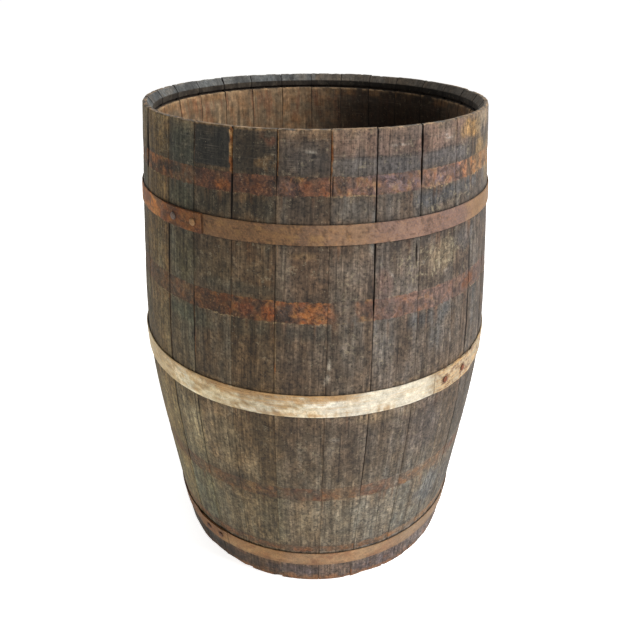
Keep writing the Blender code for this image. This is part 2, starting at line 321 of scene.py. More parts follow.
# Rust left by four hoops that were taken off: low, high
GHOSTS = ((0.898, 0.929), (0.682, 0.721), (0.270, 0.305), (0.104, 0.121))


def opening(joint, z):
    zh = np.asarray(z) / HEIGHT
    spans = OPENINGS.get(joint, [(0.0, 0.9, 0.10 + 0.12 * ((joint * 7) % 5)), (0.9, 1.0, 0.15 + 0.12 * ((joint * 3) % 4))])
    total, weight = 0.0, 1e-6
    for low, high, half in spans:
        w = band(zh, low, high, 0.012) + 1e-6
        total = total + w * half
        weight = weight + w
    return total / weight * mm * (0.85 + 0.3 * noise(zh * 45, joint * 3.7, 0.0, 5))


def stave_columns(n, width):
    edge = np.array([0.0, 0.45, 1.1, 2.1, 3.4, 5.2]) * mm
    count = int(round((width - 2 * edge[-1]) / (3.5 * mm)))
    inner = np.linspace(edge[-1], width - edge[-1], count + 1)[1:-1]
    x = np.concatenate([edge, inner, width - edge[::-1]])
    for stave, at, _, _, half, _ in CHECKS:
        if stave == n:
            extra = at * mm + np.array([-1.35, -0.5, 0.0, 0.5, 1.35]) * half * mm
            x = np.concatenate([x[(x < extra[0] - 0.8 * mm) | (x > extra[-1] + 0.8 * mm)], extra])
    return np.sort(x)


def rows_and_columns(n):
    start = JOINTS[n]
    end = JOINTS[n + 1] if n + 1 < len(JOINTS) else JOINTS[0] + 360
    gap = degrees(JOINT_GAP / BILGE_RADIUS) / 2
    start, end = start + gap, end - gap
    mean = radians(end - start) * 0.343
    share = stave_columns(n, mean) / mean
    return start, end, mean, share


def ghost_mask(th, zh, x, z, seed=31):
    """How much each ghost band covers a point, with ragged edges."""
    made = []
    for k, (low, high) in enumerate(GHOSTS):
        ragged = 0.0013 * fbm(x / 0.011, z / 0.011, k, seed, 3) + 0.0012 * noise(x / 0.05, 0, k, seed + 3)
        edge = (0.0005, 0.0005, 0.0007, 0.0012)[k]
        made.append(band(zh + ragged, low, high, edge))
    return made


def relief(n, x, c, z, zh, th):
    """Height of the weathered outside above the coopered surface, in metres."""
    gx = x + 0.31 * n
    h = 0.28 * mm * fbm(gx / 0.030, z / 0.20, n, 11, 3)
    grain = fbm(gx / 0.0052, z / 0.085, n, 12, 3)
    h = h + 0.20 * mm * grain - 0.30 * mm * smooth(0.30, 0.75, -grain)
    h = h + 0.10 * mm * fbm(gx / 0.012, z / 0.012, n, 13, 3)
    h = h - 0.45 * mm * np.abs(2 * c - 1) ** 3
    marks = ghost_mask(th, zh, gx, z)
    crust = fbm(gx / 0.007, z / 0.007, n, 14, 3)
    for k, m in enumerate(marks):
        h = h - m * (0.40 - 0.30 * np.clip(crust, 0, 1)) * mm
    # saw marks across the grain near the top, and hammer dents
    tops = smooth(0.925, 0.945, zh)
    h = h - tops * 0.16 * mm * np.clip(noise(gx / 0.06, z / 0.0030 + 0.8 * noise(gx / 0.04, 0, n, 4), n, 15), 0, 1)
    dents = smooth(0.55, 0.8, noise(gx / 0.011, z / 0.014, n, 16)) * smooth(0.1, 0.5, noise(gx / 0.08, z / 0.08, n, 18))
    h = h - 0.5 * mm * dents
    return h - 0.42 * mm


def make_stave(n):
    """Points, faces and the coordinates that the paint needs."""
    start, end, mean, share = rows_and_columns(n)
    rows, columns = len(ROW_Z), len(share)
    z0 = ROW_Z[:, None] + 0 * share[None, :]
    c = share[None, :] + 0 * z0
    kind = KIND[:, None] + 0 * c.astype(int)
    is_out = (KIND == OUTSIDE)[:, None]
    width = radians(end - start) * outside(z0)
    # the opening pulls both outer arrises back, and fades towards the inside
    fade = np.clip(1 - DEPTH / (14 * mm + 22 * mm * smooth(0.925, 0.965, ROW_Z / HEIGHT)), 0, 1)[:, None]
    left = opening(n, z0) * fade
    right = opening((n + 1) % len(JOINTS), z0) * fade
    usable = width - left - right
    x = left + c * usable
    wander = (1.6 * mm * noise(z0 / 0.055, n * 1.7, 0, 21) + 0.8 * mm * noise(z0 / 0.013, n * 1.7, 0, 22)) * (
        1 - np.abs(2 * c - 1) ** 2
    )
    x = x + wander * is_out
    e_left, e_right = c * usable, (1 - c) * usable
    th = start + np.degrees(x / outside(z0)) + lean_at(z0)
    zh = z0 / HEIGHT

    h = np.where(is_out, relief(n, x, c, z0, zh, th), 0.0)
    # inside wall: plane marks across the grain and a slight scoop
    gx = x + 0.31 * n
    inner = 0.22 * mm * fbm(gx / 0.02, z0 / 0.10, n, 41, 3) + 0.12 * mm * fbm(gx / 0.006, z0 / 0.05, n, 42, 2)
    inner = inner - 0.10 * mm * np.clip(noise(gx / 0.05, z0 / 0.0075, n, 43), 0, 1)
    h = np.where(np.isin(kind, (LIP, WALL)), inner, h)
    tool = 0.10 * mm * fbm(gx / 0.009, (z0 + DEPTH[:, None]) / 0.006, n, 44, 2)
    h = np.where(np.isin(kind, (BEVEL, HOWEL)), tool, h)
    # worn arrises
    worn = np.array([1.25, 0.7, 0.9, 0.5, 0.3, 0.5, 0.6])[KIND][:, None] * mm
    rag = 0.75 + 0.5 * noise(z0 / 0.02, n * 5.1, DEPTH[:, None] * 300, 23) + 0.25 * noise(z0 / 0.006, n * 5.1, 0, 24)
    for e, gap, s in ((e_left, left, 1), (e_right, right, 2)):
        shut = 1 - 0.62 * (1 - np.clip(gap / (0.8 * mm), 0, 1)) * is_out
        r = worn * shut * np.clip(rag + 0.2 * noise(z0 / 0.03, n, s, 25), 0.35, 2) + 0.5 * gap * is_out
        t = np.clip(1 - e / r, 0, 1)
        h = h - r * (1 - np.sqrt(np.clip(1 - t * t, 0, 1)))
    fresh = np.zeros_like(h)
    for joint, side, low, high, wide in SPLITS:
        e = e_right if (side == "left" and joint == (n + 1) % len(JOINTS)) else e_left if (side == "right" and joint == n) else None
        if e is None:
            continue
        reach = wide * mm * band(zh, low, high, 0.006) * (0.8 + 0.4 * noise(z0 / 0.009, joint, 0, 26))
        cut = np.clip(reach - e, 0, None) * np.where(is_out, 1.1, 0.5)
        h = h - cut
        fresh = np.maximum(fresh, smooth(0.1 * mm, 0.8 * mm, cut))
    dirt_and_shade = np.zeros_like(h)
    for stave, at, low, high, half, deep in CHECKS:
        if stave != n:
            continue
        near = np.abs(c * mean - at * mm) / (half * 1.35 * mm)
        taper = band(zh, low + 0.006, high - 0.006, 0.008) * (0.75 + 0.35 * noise(z0 / 0.008, at, 0, 27))
        cut = np.clip(1 - near, 0, 1) * taper
        h = h - np.where(is_out, deep * mm * cut, 0)
        dirt_and_shade = np.maximum(dirt_and_shade, np.where(is_out, smooth(0.05, 0.35, cut), 0))
    h = np.where(is_out, np.minimum(h, 0.12 * mm), h)

    # end-face wear: each stave stands a little differently, with chips on the outer edge
    settle = 0.0 if n in (5, 17, 25) else (0.2 + 1.1 * abs(float(noise(n * 1.31, 3.3, 0, 28)))) * mm
    near_top = np.clip(1 - (HEIGHT - z0) / (30 * mm), 0, 1) * (z0 > HEIGHT / 2)
    chip = smooth(0.25, 0.75, fbm(gx / 0.012, n * 2.3, 0, 29, 3)) * 1.6 * mm + 0.25 * mm * (1 + fbm(gx / 0.004, n, 0, 30, 2))
    at_rim = np.clip(1 - (HEIGHT - z0) / (6 * mm), 0, 1) * (z0 > HEIGHT / 2) * np.clip(1 - DEPTH[:, None] / (9 * mm), 0, 1)
    z = z0 - settle * near_top - chip * at_rim
    low_rim = np.clip(1 - z0 / (10 * mm), 0, 1) * np.clip(1 - DEPTH[:, None] / (7.5 * mm), 0, 1)
    foot_chip = smooth(0.0, 0.85, fbm(gx / 0.040, n * 3.1, 0, 33, 2)) * 5.0 * mm + 0.12 * mm * (1 + fbm(gx / 0.006, n, 0, 35, 2))
    z = z + low_rim * foot_chip
    # the croze's inner lip is broken away in places
    lip = np.clip(1 - np.abs(AWAY - 29.2 * mm) / (3.2 * mm), 0, 1)[:, None] * (DEPTH > 19 * mm)[:, None]
    broken = smooth(0.0, 0.7, fbm(gx / 0.010, n * 1.1, 0, 34, 3)) * 2.2 * mm
    h = h - lip * broken * 0.6
    z = z - np.where(z0 > HEIGHT / 2, 1, -1) * lip * broken * 0.55

    radius = outside(z0) - DEPTH[:, None] + h * NORMAL_R[:, None]
    z = np.clip(z + h * NORMAL_Z[:, None], 0.0, HEIGHT)
    slant = 1.6 * mm * smooth(1 * mm, 9 * mm, DEPTH)[:, None]
    angle = np.radians(start + np.degrees((x + slant) / outside(z0)) + lean_at(z0))
    points = np.stack([radius * np.sin(angle), -radius * np.cos(angle), z], axis=-1).reshape(-1, 3)

    # faces: the loop of rows, and the two sides. Each side has a bend half-way in, so that no light passes between the staves
    quads = grid_faces(rows, columns)[:, ::-1]
    flats = np.where(KIND == FLAT)[0]
    top = int(flats[(ROW_Z[flats] > 0.5) & (np.abs(DEPTH[flats] - 5.2 * mm) < 0.1 * mm)][0])
    bottom = int(flats[(ROW_Z[flats] < 0.5) & (np.abs(DEPTH[flats] - 5.2 * mm) < 0.1 * mm)][0])
    chain_out = np.concatenate([np.arange(bottom, rows), np.arange(0, top + 1)])
    chain_in = np.arange(bottom, top - 1, -1)
    mid_z = np.linspace(12 * mm, HEIGHT - 12 * mm, 78)
    mid_away = np.minimum(mid_z, HEIGHT - mid_z)
    mid_depth = np.interp(mid_away, [12 * mm, 30 * mm, 60 * mm], [8 * mm, 10 * mm, 13 * mm])
    bend = 1.6 * mm * smooth(1 * mm, 9 * mm, mid_depth) + 1.2 * mm * np.clip((mid_away - 12 * mm) / (28 * mm), 0, 1)
    sides, extra, first = [], [], len(points)
    for j, edge, sign in ((0, start, 1), (columns - 1, end, -1)):
        opened = opening(n if sign > 0 else (n + 1) % len(JOINTS), mid_z) * np.clip(1 - mid_depth / (14 * mm), 0, 1)
        a = np.radians(edge + np.degrees((sign * opened + bend) / outside(mid_z)) + lean_at(mid_z))
        r = outside(mid_z) - mid_depth
        extra.append(np.stack([r * np.sin(a), -r * np.cos(a), mid_z], axis=-1))
        chain_mid = np.concatenate([[bottom * columns + j], first + np.arange(len(mid_z)), [top * columns + j]])
        heights = np.concatenate([[ROW_Z[bottom]], mid_z, [ROW_Z[top]]])
        first += len(mid_z)
        for tri in (
            strip_between(chain_out * columns + j, chain_mid, ROW_Z[chain_out], heights),
            strip_between(chain_mid, chain_in * columns + j, heights, ROW_Z[chain_in]),
        ):
            good = (tri[:, 0] != tri[:, 1]) & (tri[:, 1] != tri[:, 2]) & (tri[:, 0] != tri[:, 2])
            sides.append(tri[good] if j else tri[good][:, ::-1])
    points = np.concatenate([points, *extra])
    info = dict(
        n=n, x=gx, c=c, z=z0, zh=zh, th=th, kind=kind, depth=DEPTH[:, None] + 0 * c,
        e_left=e_left + left, e_right=e_right + right, e=np.minimum(e_left, e_right), fresh=fresh, dirt_and_shade=dirt_and_shade, away=AWAY[:, None] + 0 * c,
        open_left=left, open_right=right,
    )  # fmt: skip
    return points, [quads, *sides], info


# Paint

STAVE_TINTS = {
    # stave: (warmth, greyness, lightness)
    0: (0.5, 0.1, 0.03), 1: (-0.1, 0.6, 0.0), 2: (0.15, 0.25, -0.02), 3: (0.25, 0.1, -0.03), 4: (0.2, 0.15, 0.0), 5: (0.1, 0.3, 0.02),
    6: (0.1, 0.4, 0.02), 7: (0.05, 0.45, 0.0), 8: (0.1, 0.35, 0.0), 9: (0.0, 0.5, 0.0), 10: (0.1, 0.5, -0.02),
}  # fmt: skip

BASE_KEYS = (
    # share of height, brown wood, grey wood
    (0.00, rgb(92, 72, 58), rgb(82, 76, 74)),
    (0.06, rgb(104, 84, 68), rgb(90, 84, 82)),
    (0.13, rgb(112, 98, 78), rgb(96, 94, 84)),
    (0.25, rgb(118, 102, 80), rgb(100, 98, 88)),
    (0.36, rgb(120, 102, 80), rgb(112, 104, 92)),
    (0.47, rgb(112, 94, 74), rgb(106, 98, 88)),
    (0.58, rgb(96, 80, 64), rgb(90, 84, 76)),
    (0.67, rgb(92, 76, 60), rgb(78, 76, 72)),
    (0.76, rgb(98, 80, 64), rgb(88, 82, 74)),
    (0.83, rgb(92, 74, 58), rgb(74, 74, 70)),
    (0.89, rgb(88, 72, 56), rgb(68, 69, 68)),
    (0.93, rgb(82, 68, 54), rgb(62, 62, 60)),
    (0.97, rgb(94, 76, 60), rgb(70, 67, 62)),
    (1.00, rgb(116, 94, 72), rgb(98, 90, 80)),
)


def keyed(zh, which):
    keys = np.array([k[0] for k in BASE_KEYS])
    cols = np.array([k[which] for k in BASE_KEYS])
    return np.stack([np.interp(zh, keys, cols[:, i]) for i in range(3)], axis=-1)


def spot(th, zh, t0, z0, st, sz, rough, power=1.0):
    """A soft-edged patch centred at (t0, z0) with half sizes st degrees and sz of the height."""
    d = np.sqrt(((th - t0) / st) ** 2 + ((zh - z0) / sz) ** 2)
    return (1 - smooth(0.55, 1.25, d + 0.55 * rough)) * power


# (angle, share of height, half width in degrees, half height, colour, strength)
PATCHES = [
    (-70, 0.955, 6.0, 0.050, rgb(116, 96, 76), 0.75),
    # dark zone above the top ghost band
    (-41, 0.955, 7.0, 0.035, rgb(60, 60, 56), 0.65), (-30, 0.958, 7.5, 0.026, rgb(44, 43, 42), 0.9),
    (-16, 0.965, 6.0, 0.024, rgb(50, 44, 38), 0.8), (-3, 0.955, 7.0, 0.026, rgb(58, 54, 50), 0.6),
    (10, 0.950, 6.5, 0.018, rgb(70, 68, 66), 0.5), (23, 0.945, 7.0, 0.020, rgb(78, 76, 74), 0.45),
    (36, 0.945, 6.0, 0.016, rgb(84, 81, 79), 0.5), (47, 0.940, 5.0, 0.018, rgb(84, 82, 80), 0.5),
    (-55, 0.955, 7.0, 0.030, rgb(98, 80, 58), 0.6), (-58, 0.87, 8.0, 0.05, rgb(96, 76, 54), 0.5),
    # between the ghost band and the quarter hoop
    (-41, 0.875, 6.0, 0.020, rgb(64, 64, 56), 0.65), (-30, 0.876, 7.0, 0.020, rgb(58, 54, 46), 0.7),
    (-16, 0.876, 6.0, 0.020, rgb(60, 56, 50), 0.7), (-3, 0.875, 7.0, 0.022, rgb(70, 62, 54), 0.5),
    (10, 0.876, 6.0, 0.020, rgb(78, 76, 72), 0.6), (36, 0.880, 9.0, 0.014, rgb(68, 70, 72), 0.65), (50, 0.885, 7.0, 0.012, rgb(80, 80, 80), 0.5),
    # ochre and yellow stains at the right of the rim
    (52, 0.978, 6.5, 0.017, rgb(168, 130, 76), 0.75), (60, 0.93, 5.0, 0.03, rgb(150, 120, 74), 0.6), (70, 0.91, 6.0, 0.05, rgb(150, 124, 86), 0.6),
    (38, 0.975, 6.0, 0.012, rgb(150, 128, 108), 0.5), (64, 0.985, 8.0, 0.02, rgb(158, 138, 108), 0.5), (-3, 0.972, 3.0, 0.004, rgb(132, 118, 100), 0.6),
    (23, 0.973, 5.0, 0.008, rgb(120, 104, 90), 0.5), (30, 0.962, 2.6, 0.022, rgb(116, 82, 66), 0.55), (15, 0.972, 2.0, 0.02, rgb(110, 84, 68), 0.5),
    # under the quarter hoop
    (-60, 0.765, 7.0, 0.05, rgb(104, 84, 58), 0.5), (-41, 0.765, 6.0, 0.035, rgb(80, 76, 62), 0.6), (-41, 0.74, 5.0, 0.02, rgb(76, 70, 54), 0.5),
    (-28, 0.765, 7.0, 0.04, rgb(92, 80, 62), 0.45), (-16, 0.772, 4.0, 0.020, rgb(104, 90, 74), 0.5), (-4, 0.802, 5.0, 0.006, rgb(140, 114, 78), 0.4),
    (12, 0.765, 5.0, 0.030, rgb(110, 98, 86), 0.5), (19, 0.745, 3.0, 0.03, rgb(104, 74, 62), 0.5), (39, 0.775, 7.0, 0.030, rgb(140, 122, 92), 0.6),
    (50, 0.79, 6.0, 0.02, rgb(96, 92, 88), 0.6), (-22, 0.738, 14.0, 0.012, rgb(80, 80, 74), 0.4),
    # above and below the second ghost band
    (-38, 0.660, 9.0, 0.022, rgb(70, 74, 66), 0.55), (-20, 0.668, 9.0, 0.018, rgb(68, 66, 58), 0.5), (0, 0.664, 10.0, 0.018, rgb(66, 62, 54), 0.55),
    (36, 0.664, 10.0, 0.016, rgb(76, 76, 74), 0.5), (0, 0.60, 9.0, 0.05, rgb(84, 72, 60), 0.4), (-58, 0.61, 7.0, 0.06, rgb(98, 84, 68), 0.4),
    # below the bilge hoop
    (-54, 0.42, 8.0, 0.07, rgb(126, 112, 94), 0.5), (-41, 0.42, 5.5, 0.07, rgb(122, 110, 92), 0.45), (-29, 0.41, 6.0, 0.07, rgb(116, 106, 88), 0.45),
    (-16, 0.42, 6.0, 0.07, rgb(100, 84, 66), 0.5), (-2, 0.44, 7.0, 0.05, rgb(104, 88, 70), 0.4), (10, 0.42, 6.0, 0.08, rgb(98, 84, 72), 0.45),
    (36, 0.42, 8.0, 0.08, rgb(104, 90, 82), 0.4), (18, 0.48, 8.0, 0.016, rgb(132, 112, 82), 0.45), (28, 0.475, 4.0, 0.012, rgb(134, 118, 92), 0.45),
    (-40, 0.325, 14.0, 0.022, rgb(92, 86, 74), 0.5), (-24, 0.315, 5.0, 0.016, rgb(80, 72, 62), 0.5),
    # below the third ghost band
    (-58, 0.20, 9.0, 0.06, rgb(96, 88, 74), 0.5), (-40, 0.21, 8.0, 0.06, rgb(96, 94, 80), 0.5), (-28, 0.20, 6.0, 0.05, rgb(104, 96, 80), 0.4),
    (-14, 0.20, 6.0, 0.07, rgb(84, 78, 66), 0.5), (-4, 0.19, 3.0, 0.06, rgb(122, 108, 82), 0.35), (9, 0.21, 6.0, 0.06, rgb(112, 104, 88), 0.4),
    (45, 0.20, 7.0, 0.06, rgb(96, 98, 98), 0.55), (24, 0.20, 7.0, 0.06, rgb(112, 104, 88), 0.4), (60, 0.2, 8.0, 0.06, rgb(104, 96, 88), 0.4),
    # chime at the foot
    (-35, 0.030, 12.0, 0.022, rgb(74, 64, 62), 0.6), (-8, 0.032, 12.0, 0.020, rgb(76, 68, 72), 0.6), (26, 0.032, 12.0, 0.02, rgb(86, 76, 76), 0.5),
    (48, 0.030, 12.0, 0.02, rgb(116, 104, 96), 0.5),
]  # fmt: skip

# Pale scrapes: angle, share of height, half width, half height, lean, strength
SCRAPES = [
    (3.6, 0.590, 0.55, 0.024, 14, 1.0), (2.6, 0.572, 0.4, 0.012, 4, 0.8), (-33.0, 0.660, 0.35, 0.020, 0, 0.7), (6.0, 0.436, 1.6, 0.004, 0, 0.9),
    (20.0, 0.768, 2.2, 0.0022, -150, 0.8), (-1.6, 0.967, 1.8, 0.0022, 0, 0.9), (31.5, 0.862, 0.35, 0.010, 10, 0.8), (33.0, 0.862, 0.3, 0.009, 10, 0.7),
    (37.5, 0.752, 0.35, 0.012, 0, 0.8), (41.0, 0.745, 1.2, 0.003, 30, 0.7), (31.0, 0.773, 1.1, 0.003, 0, 0.7), (43.5, 0.60, 0.3, 0.016, 0, 0.7),
    (27.5, 0.37, 0.22, 0.095, -1, 0.55), (-4.5, 0.38, 0.5, 0.05, 0, 0.35), (-3.2, 0.31, 0.5, 0.03, 0, 0.5), (23.5, 0.973, 3.0, 0.0018, 0, 0.7),
    (39.0, 0.978, 3.0, 0.0018, 6, 0.7), (40.5, 0.972, 2.4, 0.0016, -4, 0.6), (-56.0, 0.70, 0.3, 0.02, 0, 0.5), (9.5, 0.84, 0.5, 0.02, 0, 0.4),
    (120, 0.62, 0.5, 0.03, 8, 0.8), (150, 0.78, 2.2, 0.003, 20, 0.7), (200, 0.55, 0.5, 0.03, -6, 0.8), (228, 0.34, 0.6, 0.04, 4, 0.7), (262, 0.66, 0.4, 0.04, 0, 0.7),
]  # fmt: skip


def wrap(th):
    return (np.asarray(th) + 180) % 360 - 180


RUST_DARK, RUST_BROWN, RUST_ORANGE, RUST_OCHRE, RUST_MAUVE = rgb(54, 42, 35), rgb(100, 72, 56), rgb(142, 90, 58), rgb(158, 124, 80), rgb(120, 96, 86)


def paint_outside(i):
    n, x, z, zh = i["n"], i["x"], i["z"], i["zh"]
    th = wrap(i["th"])
    warm, grey, light = STAVE_TINTS.get(
        n, (0.15 + 0.25 * float(noise(n * 1.9, 0.5, 0, 61)), 0.35 + 0.3 * float(noise(n * 2.3, 0.5, 0, 62)), 0.02 * float(noise(n * 1.1, 0.5, 0, 63)))
    )
    streak = fbm(x / 0.010, z / 0.16, n, 51, 4)
    wide = fbm(x / 0.030, z / 0.10, n, 52, 4)
    blot = fbm(x / 0.016, z / 0.022, n, 53, 4)
    fine = fbm(x / 0.0045, z / 0.010, n, 54, 3)
    brown, slate = keyed(zh, 1), keyed(zh, 2)
    col = blend(brown, slate, np.clip(grey + 0.42 * wide + 0.25 * streak, 0, 1))
    col = col + np.array([0.030, 0.008, -0.012]) * warm
    for t0, z0, st, sz, colour, strength in PATCHES:
        d = wrap(th - t0)
        hit = np.abs(d) < 2.2 * st
        if not hit.any():
            continue
        rough = 0.5 * blot + 0.35 * wide
        col = blend(col, colour, spot(d, zh, 0, z0, st, sz, rough) * strength)
    # the unseen side has patches of its own
    back = smooth(70, 85, np.abs(th))
    b1 = fbm(th / 14, zh / 0.05, 7, 71, 3)
    b2 = fbm(th / 9, zh / 0.08, 9, 72, 3)
    col = blend(col, rgb(70, 68, 64), back * smooth(0.15, 0.7, b1) * 0.6)
    col = blend(col, rgb(132, 114, 86), back * smooth(0.30, 0.8, b2) * 0.5)
    col = blend(col, rgb(64, 60, 56), back * band(zh, 0.935, 0.985, 0.01) * 0.5 * (0.7 + 0.5 * b2))
    # contrast of the grain
    pock = fbm(x / 0.0075, z / 0.0085, n, 66, 3)
    lower_part = 1 - smooth(0.44, 0.56, zh)
    col = col * (1 + 0.10 * streak + (0.11 - 0.03 * lower_part) * wide + (0.15 - 0.08 * lower_part) * blot + (0.12 + 0.06 * lower_part) * fine + 0.13 * pock)[..., None] + light

    # bands of wear above the top ghost band
    ripple = 0.0022 * noise(x / 0.02, z / 0.02, n, 67)
    facing = smooth(3, 7, th) * (1 - smooth(46, 52, th))
    col = blend(col, rgb(112, 90, 78), facing * smooth(0.954, 0.960, zh + ripple) * (0.45 + 0.35 * blot))
    col = blend(col, rgb(92, 87, 84), facing * band(zh + ripple, 0.931, 0.955, 0.002) * 0.55)
    col = blend(col, rgb(48, 44, 42), facing * np.exp(-(((zh + ripple - 0.9565) / 0.0015) ** 2)) * 0.5)
    if n == 1:
        col = blend(col, rgb(58, 59, 55), band(zh, 0.928, 0.985, 0.010) * smooth(0.1, 0.4, i["c"]) * 0.65)
    if n == 2:
        col = blend(col, rgb(46, 45, 43), band(zh, 0.9355, 0.9975, 0.0012) * (0.88 - 0.3 * smooth(0.2, 0.9, blot)))
        col = blend(col, rgb(150, 118, 84), np.exp(-(((zh - 0.9325) / 0.0016) ** 2)) * 0.6)
    if n == 3:
        col = blend(col, rgb(52, 46, 40), band(zh, 0.931, 0.9965, 0.002) * 0.78)
        col = blend(col, rgb(112, 86, 58), band(zh, 0.934, 0.958, 0.006) * smooth(0.0, 0.6, blot + 0.4 * wide) * 0.6)
        col = blend(col, rgb(110, 66, 50), band(zh, 0.975, 0.996, 0.006) * smooth(0.2, 0.7, blot) * smooth(0.5, 0.9, i["c"]) * 0.6)
    if n == 4:
        col = blend(col, rgb(70, 64, 60), band(zh, 0.932, 0.985, 0.004) * 0.45)

    # ghost bands: their colour and strength here, their edges in the material
    marks = ghost_mask(th, zh, x, z)
    patch = fbm(x / 0.014, z / 0.013, n, 55, 4)
    patch2 = fbm(x / 0.024, z / 0.016, n, 56, 3)
    speck = fbm(x / 0.005, z / 0.005, n, 57, 3)
    rust_colour, rust_total, crumbs = np.zeros_like(col), np.zeros_like(zh), np.zeros_like(zh)
    for k, (low, high) in enumerate(GHOSTS):
        colour = blend(RUST_BROWN + 0 * col, RUST_ORANGE, smooth(0.05, 0.50, patch))
        colour = blend(colour, rgb(98, 58, 48), smooth(0.05, 0.45, patch2 - 0.4 * patch) * 0.7)
        colour = blend(colour, RUST_DARK, smooth(0.10, 0.50, -patch + 0.3 * patch2))
        colour = blend(colour, RUST_OCHRE, smooth(0.45, 0.9, patch2 + 0.35 * speck) * 0.8)
        if k == 0:
            colour = blend(colour, RUST_MAUVE, band(th, 5, 46, 8) * 0.6)
            colour = blend(colour, rgb(122, 104, 106), band(th, 12, 46, 4) * smooth(0.15, 0.5, patch2) * 0.55)
            colour = blend(colour, rgb(146, 116, 80), band(th, 4, 46, 4) * smooth(0.25, 0.55, speck + 0.5 * patch) * 0.55)
            colour = blend(colour, RUST_OCHRE, smooth(44, 58, th) * (1 - smooth(72, 90, th)) * 0.6)
            colour = blend(colour, rgb(84, 56, 47), band(th, -36, -10, 3) * 0.70)
            colour = blend(colour, rgb(54, 48, 46), spot(th + 10.5, zh, 0, 0.915, 1.6, 0.02, blot) * 0.5)
            colour = blend(colour, rgb(158, 92, 48), spot(th + 26.5, zh, 0, 0.907, 2.6, 0.009, blot) * 0.8)
            colour = blend(colour, rgb(128, 80, 58), spot(th + 1.0, zh, 0, 0.912, 4.5, 0.012, blot) * 0.6)
            colour = blend(colour, rgb(112, 90, 84), spot(th + 7.0, zh, 0, 0.912, 2.6, 0.014, blot) * 0.6)
            amount = 0.92 - 0.22 * smooth(0.2, 0.8, -patch2)
            amount = amount - 0.45 * band(th, -47, -36, 3)
        elif k == 1:
            strong = band(th, -36, 3, 3)
            colour = blend(colour, rgb(152, 88, 48), strong * smooth(0.10, 0.45, patch2) * 0.6)
            colour = blend(colour, rgb(162, 122, 70), strong * smooth(0.25, 0.55, patch + 0.4 * speck) * 0.5)
            colour = blend(colour, RUST_DARK + rgb(22, 14, 8), (1 - smooth(-14, -9, th)) * 0.4)
            colour = blend(colour, rgb(120, 68, 48), spot(th + 20.0, zh, 0, 0.700, 3.4, 0.010, blot) * 0.7)
            colour = blend(colour, rgb(150, 84, 46), spot(th + 12.6, zh, 0, 0.700, 2.4, 0.014, blot) * 0.75)
            colour = blend(colour, rgb(156, 96, 50), spot(th + 1.4, zh, 0, 0.700, 2.6, 0.014, blot) * 0.8)
            colour = blend(colour, rgb(86, 74, 68), spot(th + 8.6, zh, 0, 0.702, 1.9, 0.016, blot) * 0.7)
            colour = blend(colour, rgb(58, 42, 34), spot(th + 31.0, zh, 0, 0.702, 3.0, 0.014, blot) * 0.6)
            colour = blend(colour, RUST_MAUVE, smooth(10, 22, th) * 0.65)
            colour = blend(colour, rgb(70, 54, 46), spot(th - 23.5, zh, 0, 0.702, 2.2, 0.010, blot) * 0.45)
            colour = blend(colour, rgb(140, 84, 48), spot(th - 52.0, zh, 0, 0.702, 3.0, 0.012, blot) * 0.7)
            colour = blend(colour, RUST_MAUVE - rgb(20, 18, 16), (1 - smooth(-42, -34, th)) * 0.5)
            amount = 0.78 + 0.22 * strong + 0.12 * patch
            amount = amount * (1 - 0.85 * band(th, 4.5, 11.5, 1.5)) * (1 - 0.6 * smooth(56, 70, th))
        elif k == 2:
            colour = blend(colour, RUST_OCHRE, 0.5 * np.clip(band(th, 3, 13, 2) + band(th, 28, 52, 6) + band(th, -36, -30, 2) + band(th, -24, -19, 2), 0, 1))
            colour = blend(colour, RUST_MAUVE - rgb(16, 14, 12), (1 - smooth(-42, -36, th)) * 0.6)
            colour = blend(colour, rgb(92, 74, 60), 0.40)
            amount = 0.70 + 0.35 * patch2 + 0.15 * patch
        else:
            colour = blend(colour, rgb(92, 66, 48), 0.5)
            colour = blend(colour, RUST_OCHRE, smooth(-8, 30, th) * 0.45)
            amount = 0.64 + 0.3 * patch
        here = np.abs(zh - (low + high) / 2) < (high - low) / 2 + 0.02
        rust_colour = np.where(here[..., None], colour * (1 + 0.12 * fine)[..., None], rust_colour)
        rust_total = np.where(here, np.clip(amount, 0, 1), rust_total)
        crumbs = np.where(here, (1 - 0.5 * smooth(3, 15, th) * (1 - smooth(75, 95, th))) * (1.0, 1.0, 0.55, 0.7)[k], crumbs)
        upper = np.exp(-(((zh - high - 0.0030) / 0.0040) ** 2)) * (0.5 + 0.5 * patch)
        col = blend(col, rgb(52, 42, 34), upper * (0.3, 0.2, 0.45, 0.7)[k])

    # drips of rust below the bands and hoops
    drip = smooth(0.35, 0.85, fbm(x / 0.006, z / 0.30, n, 60, 3))
    for top_edge, reach in ((0.779 / HEIGHT, 0.05), (0.682, 0.05), (0.469 / HEIGHT, 0.06), (0.898, 0.03), (0.270, 0.04)):
        below = band(zh, top_edge - reach, top_edge, 0.004) * smooth(top_edge - reach, top_edge, zh)
        col = blend(col, rgb(110, 74, 50), below * drip * 0.5)

    # dark lines where the hoops sit: painted shade under the hoops' edges, with dirt
    dirt_and_shade = i["dirt_and_shade"].copy()
    for name, low, high, *_ in HOOPS:
        for edge, reach, deep in ((low, 2.4 * mm, 0.7), (high, 2.0 * mm, 0.25 if name == "bilge_hoop" else 0.5)):
            line = np.exp(-(((z - edge) / reach) ** 2))
            dirt_and_shade = np.maximum(dirt_and_shade, deep * line)
    col = blend(col, rgb(132, 104, 70), band(z, 0.514, 0.520, 0.002) * smooth(-0.2, 0.5, patch) * smooth(-45, -30, th) * (1 - smooth(60, 80, th)) * 0.55)
    # joints
    for side, opened in (("e_left", "open_left"), ("e_right", "open_right")):
        e, gap = i[side], i[opened]
        reach = 0.3 * mm + 0.9 * gap
        dirt_and_shade = np.maximum(dirt_and_shade, (1 - smooth(reach * 0.8, reach * 2.0, e)) * np.clip(0.08 + gap / (0.8 * mm), 0, 1))
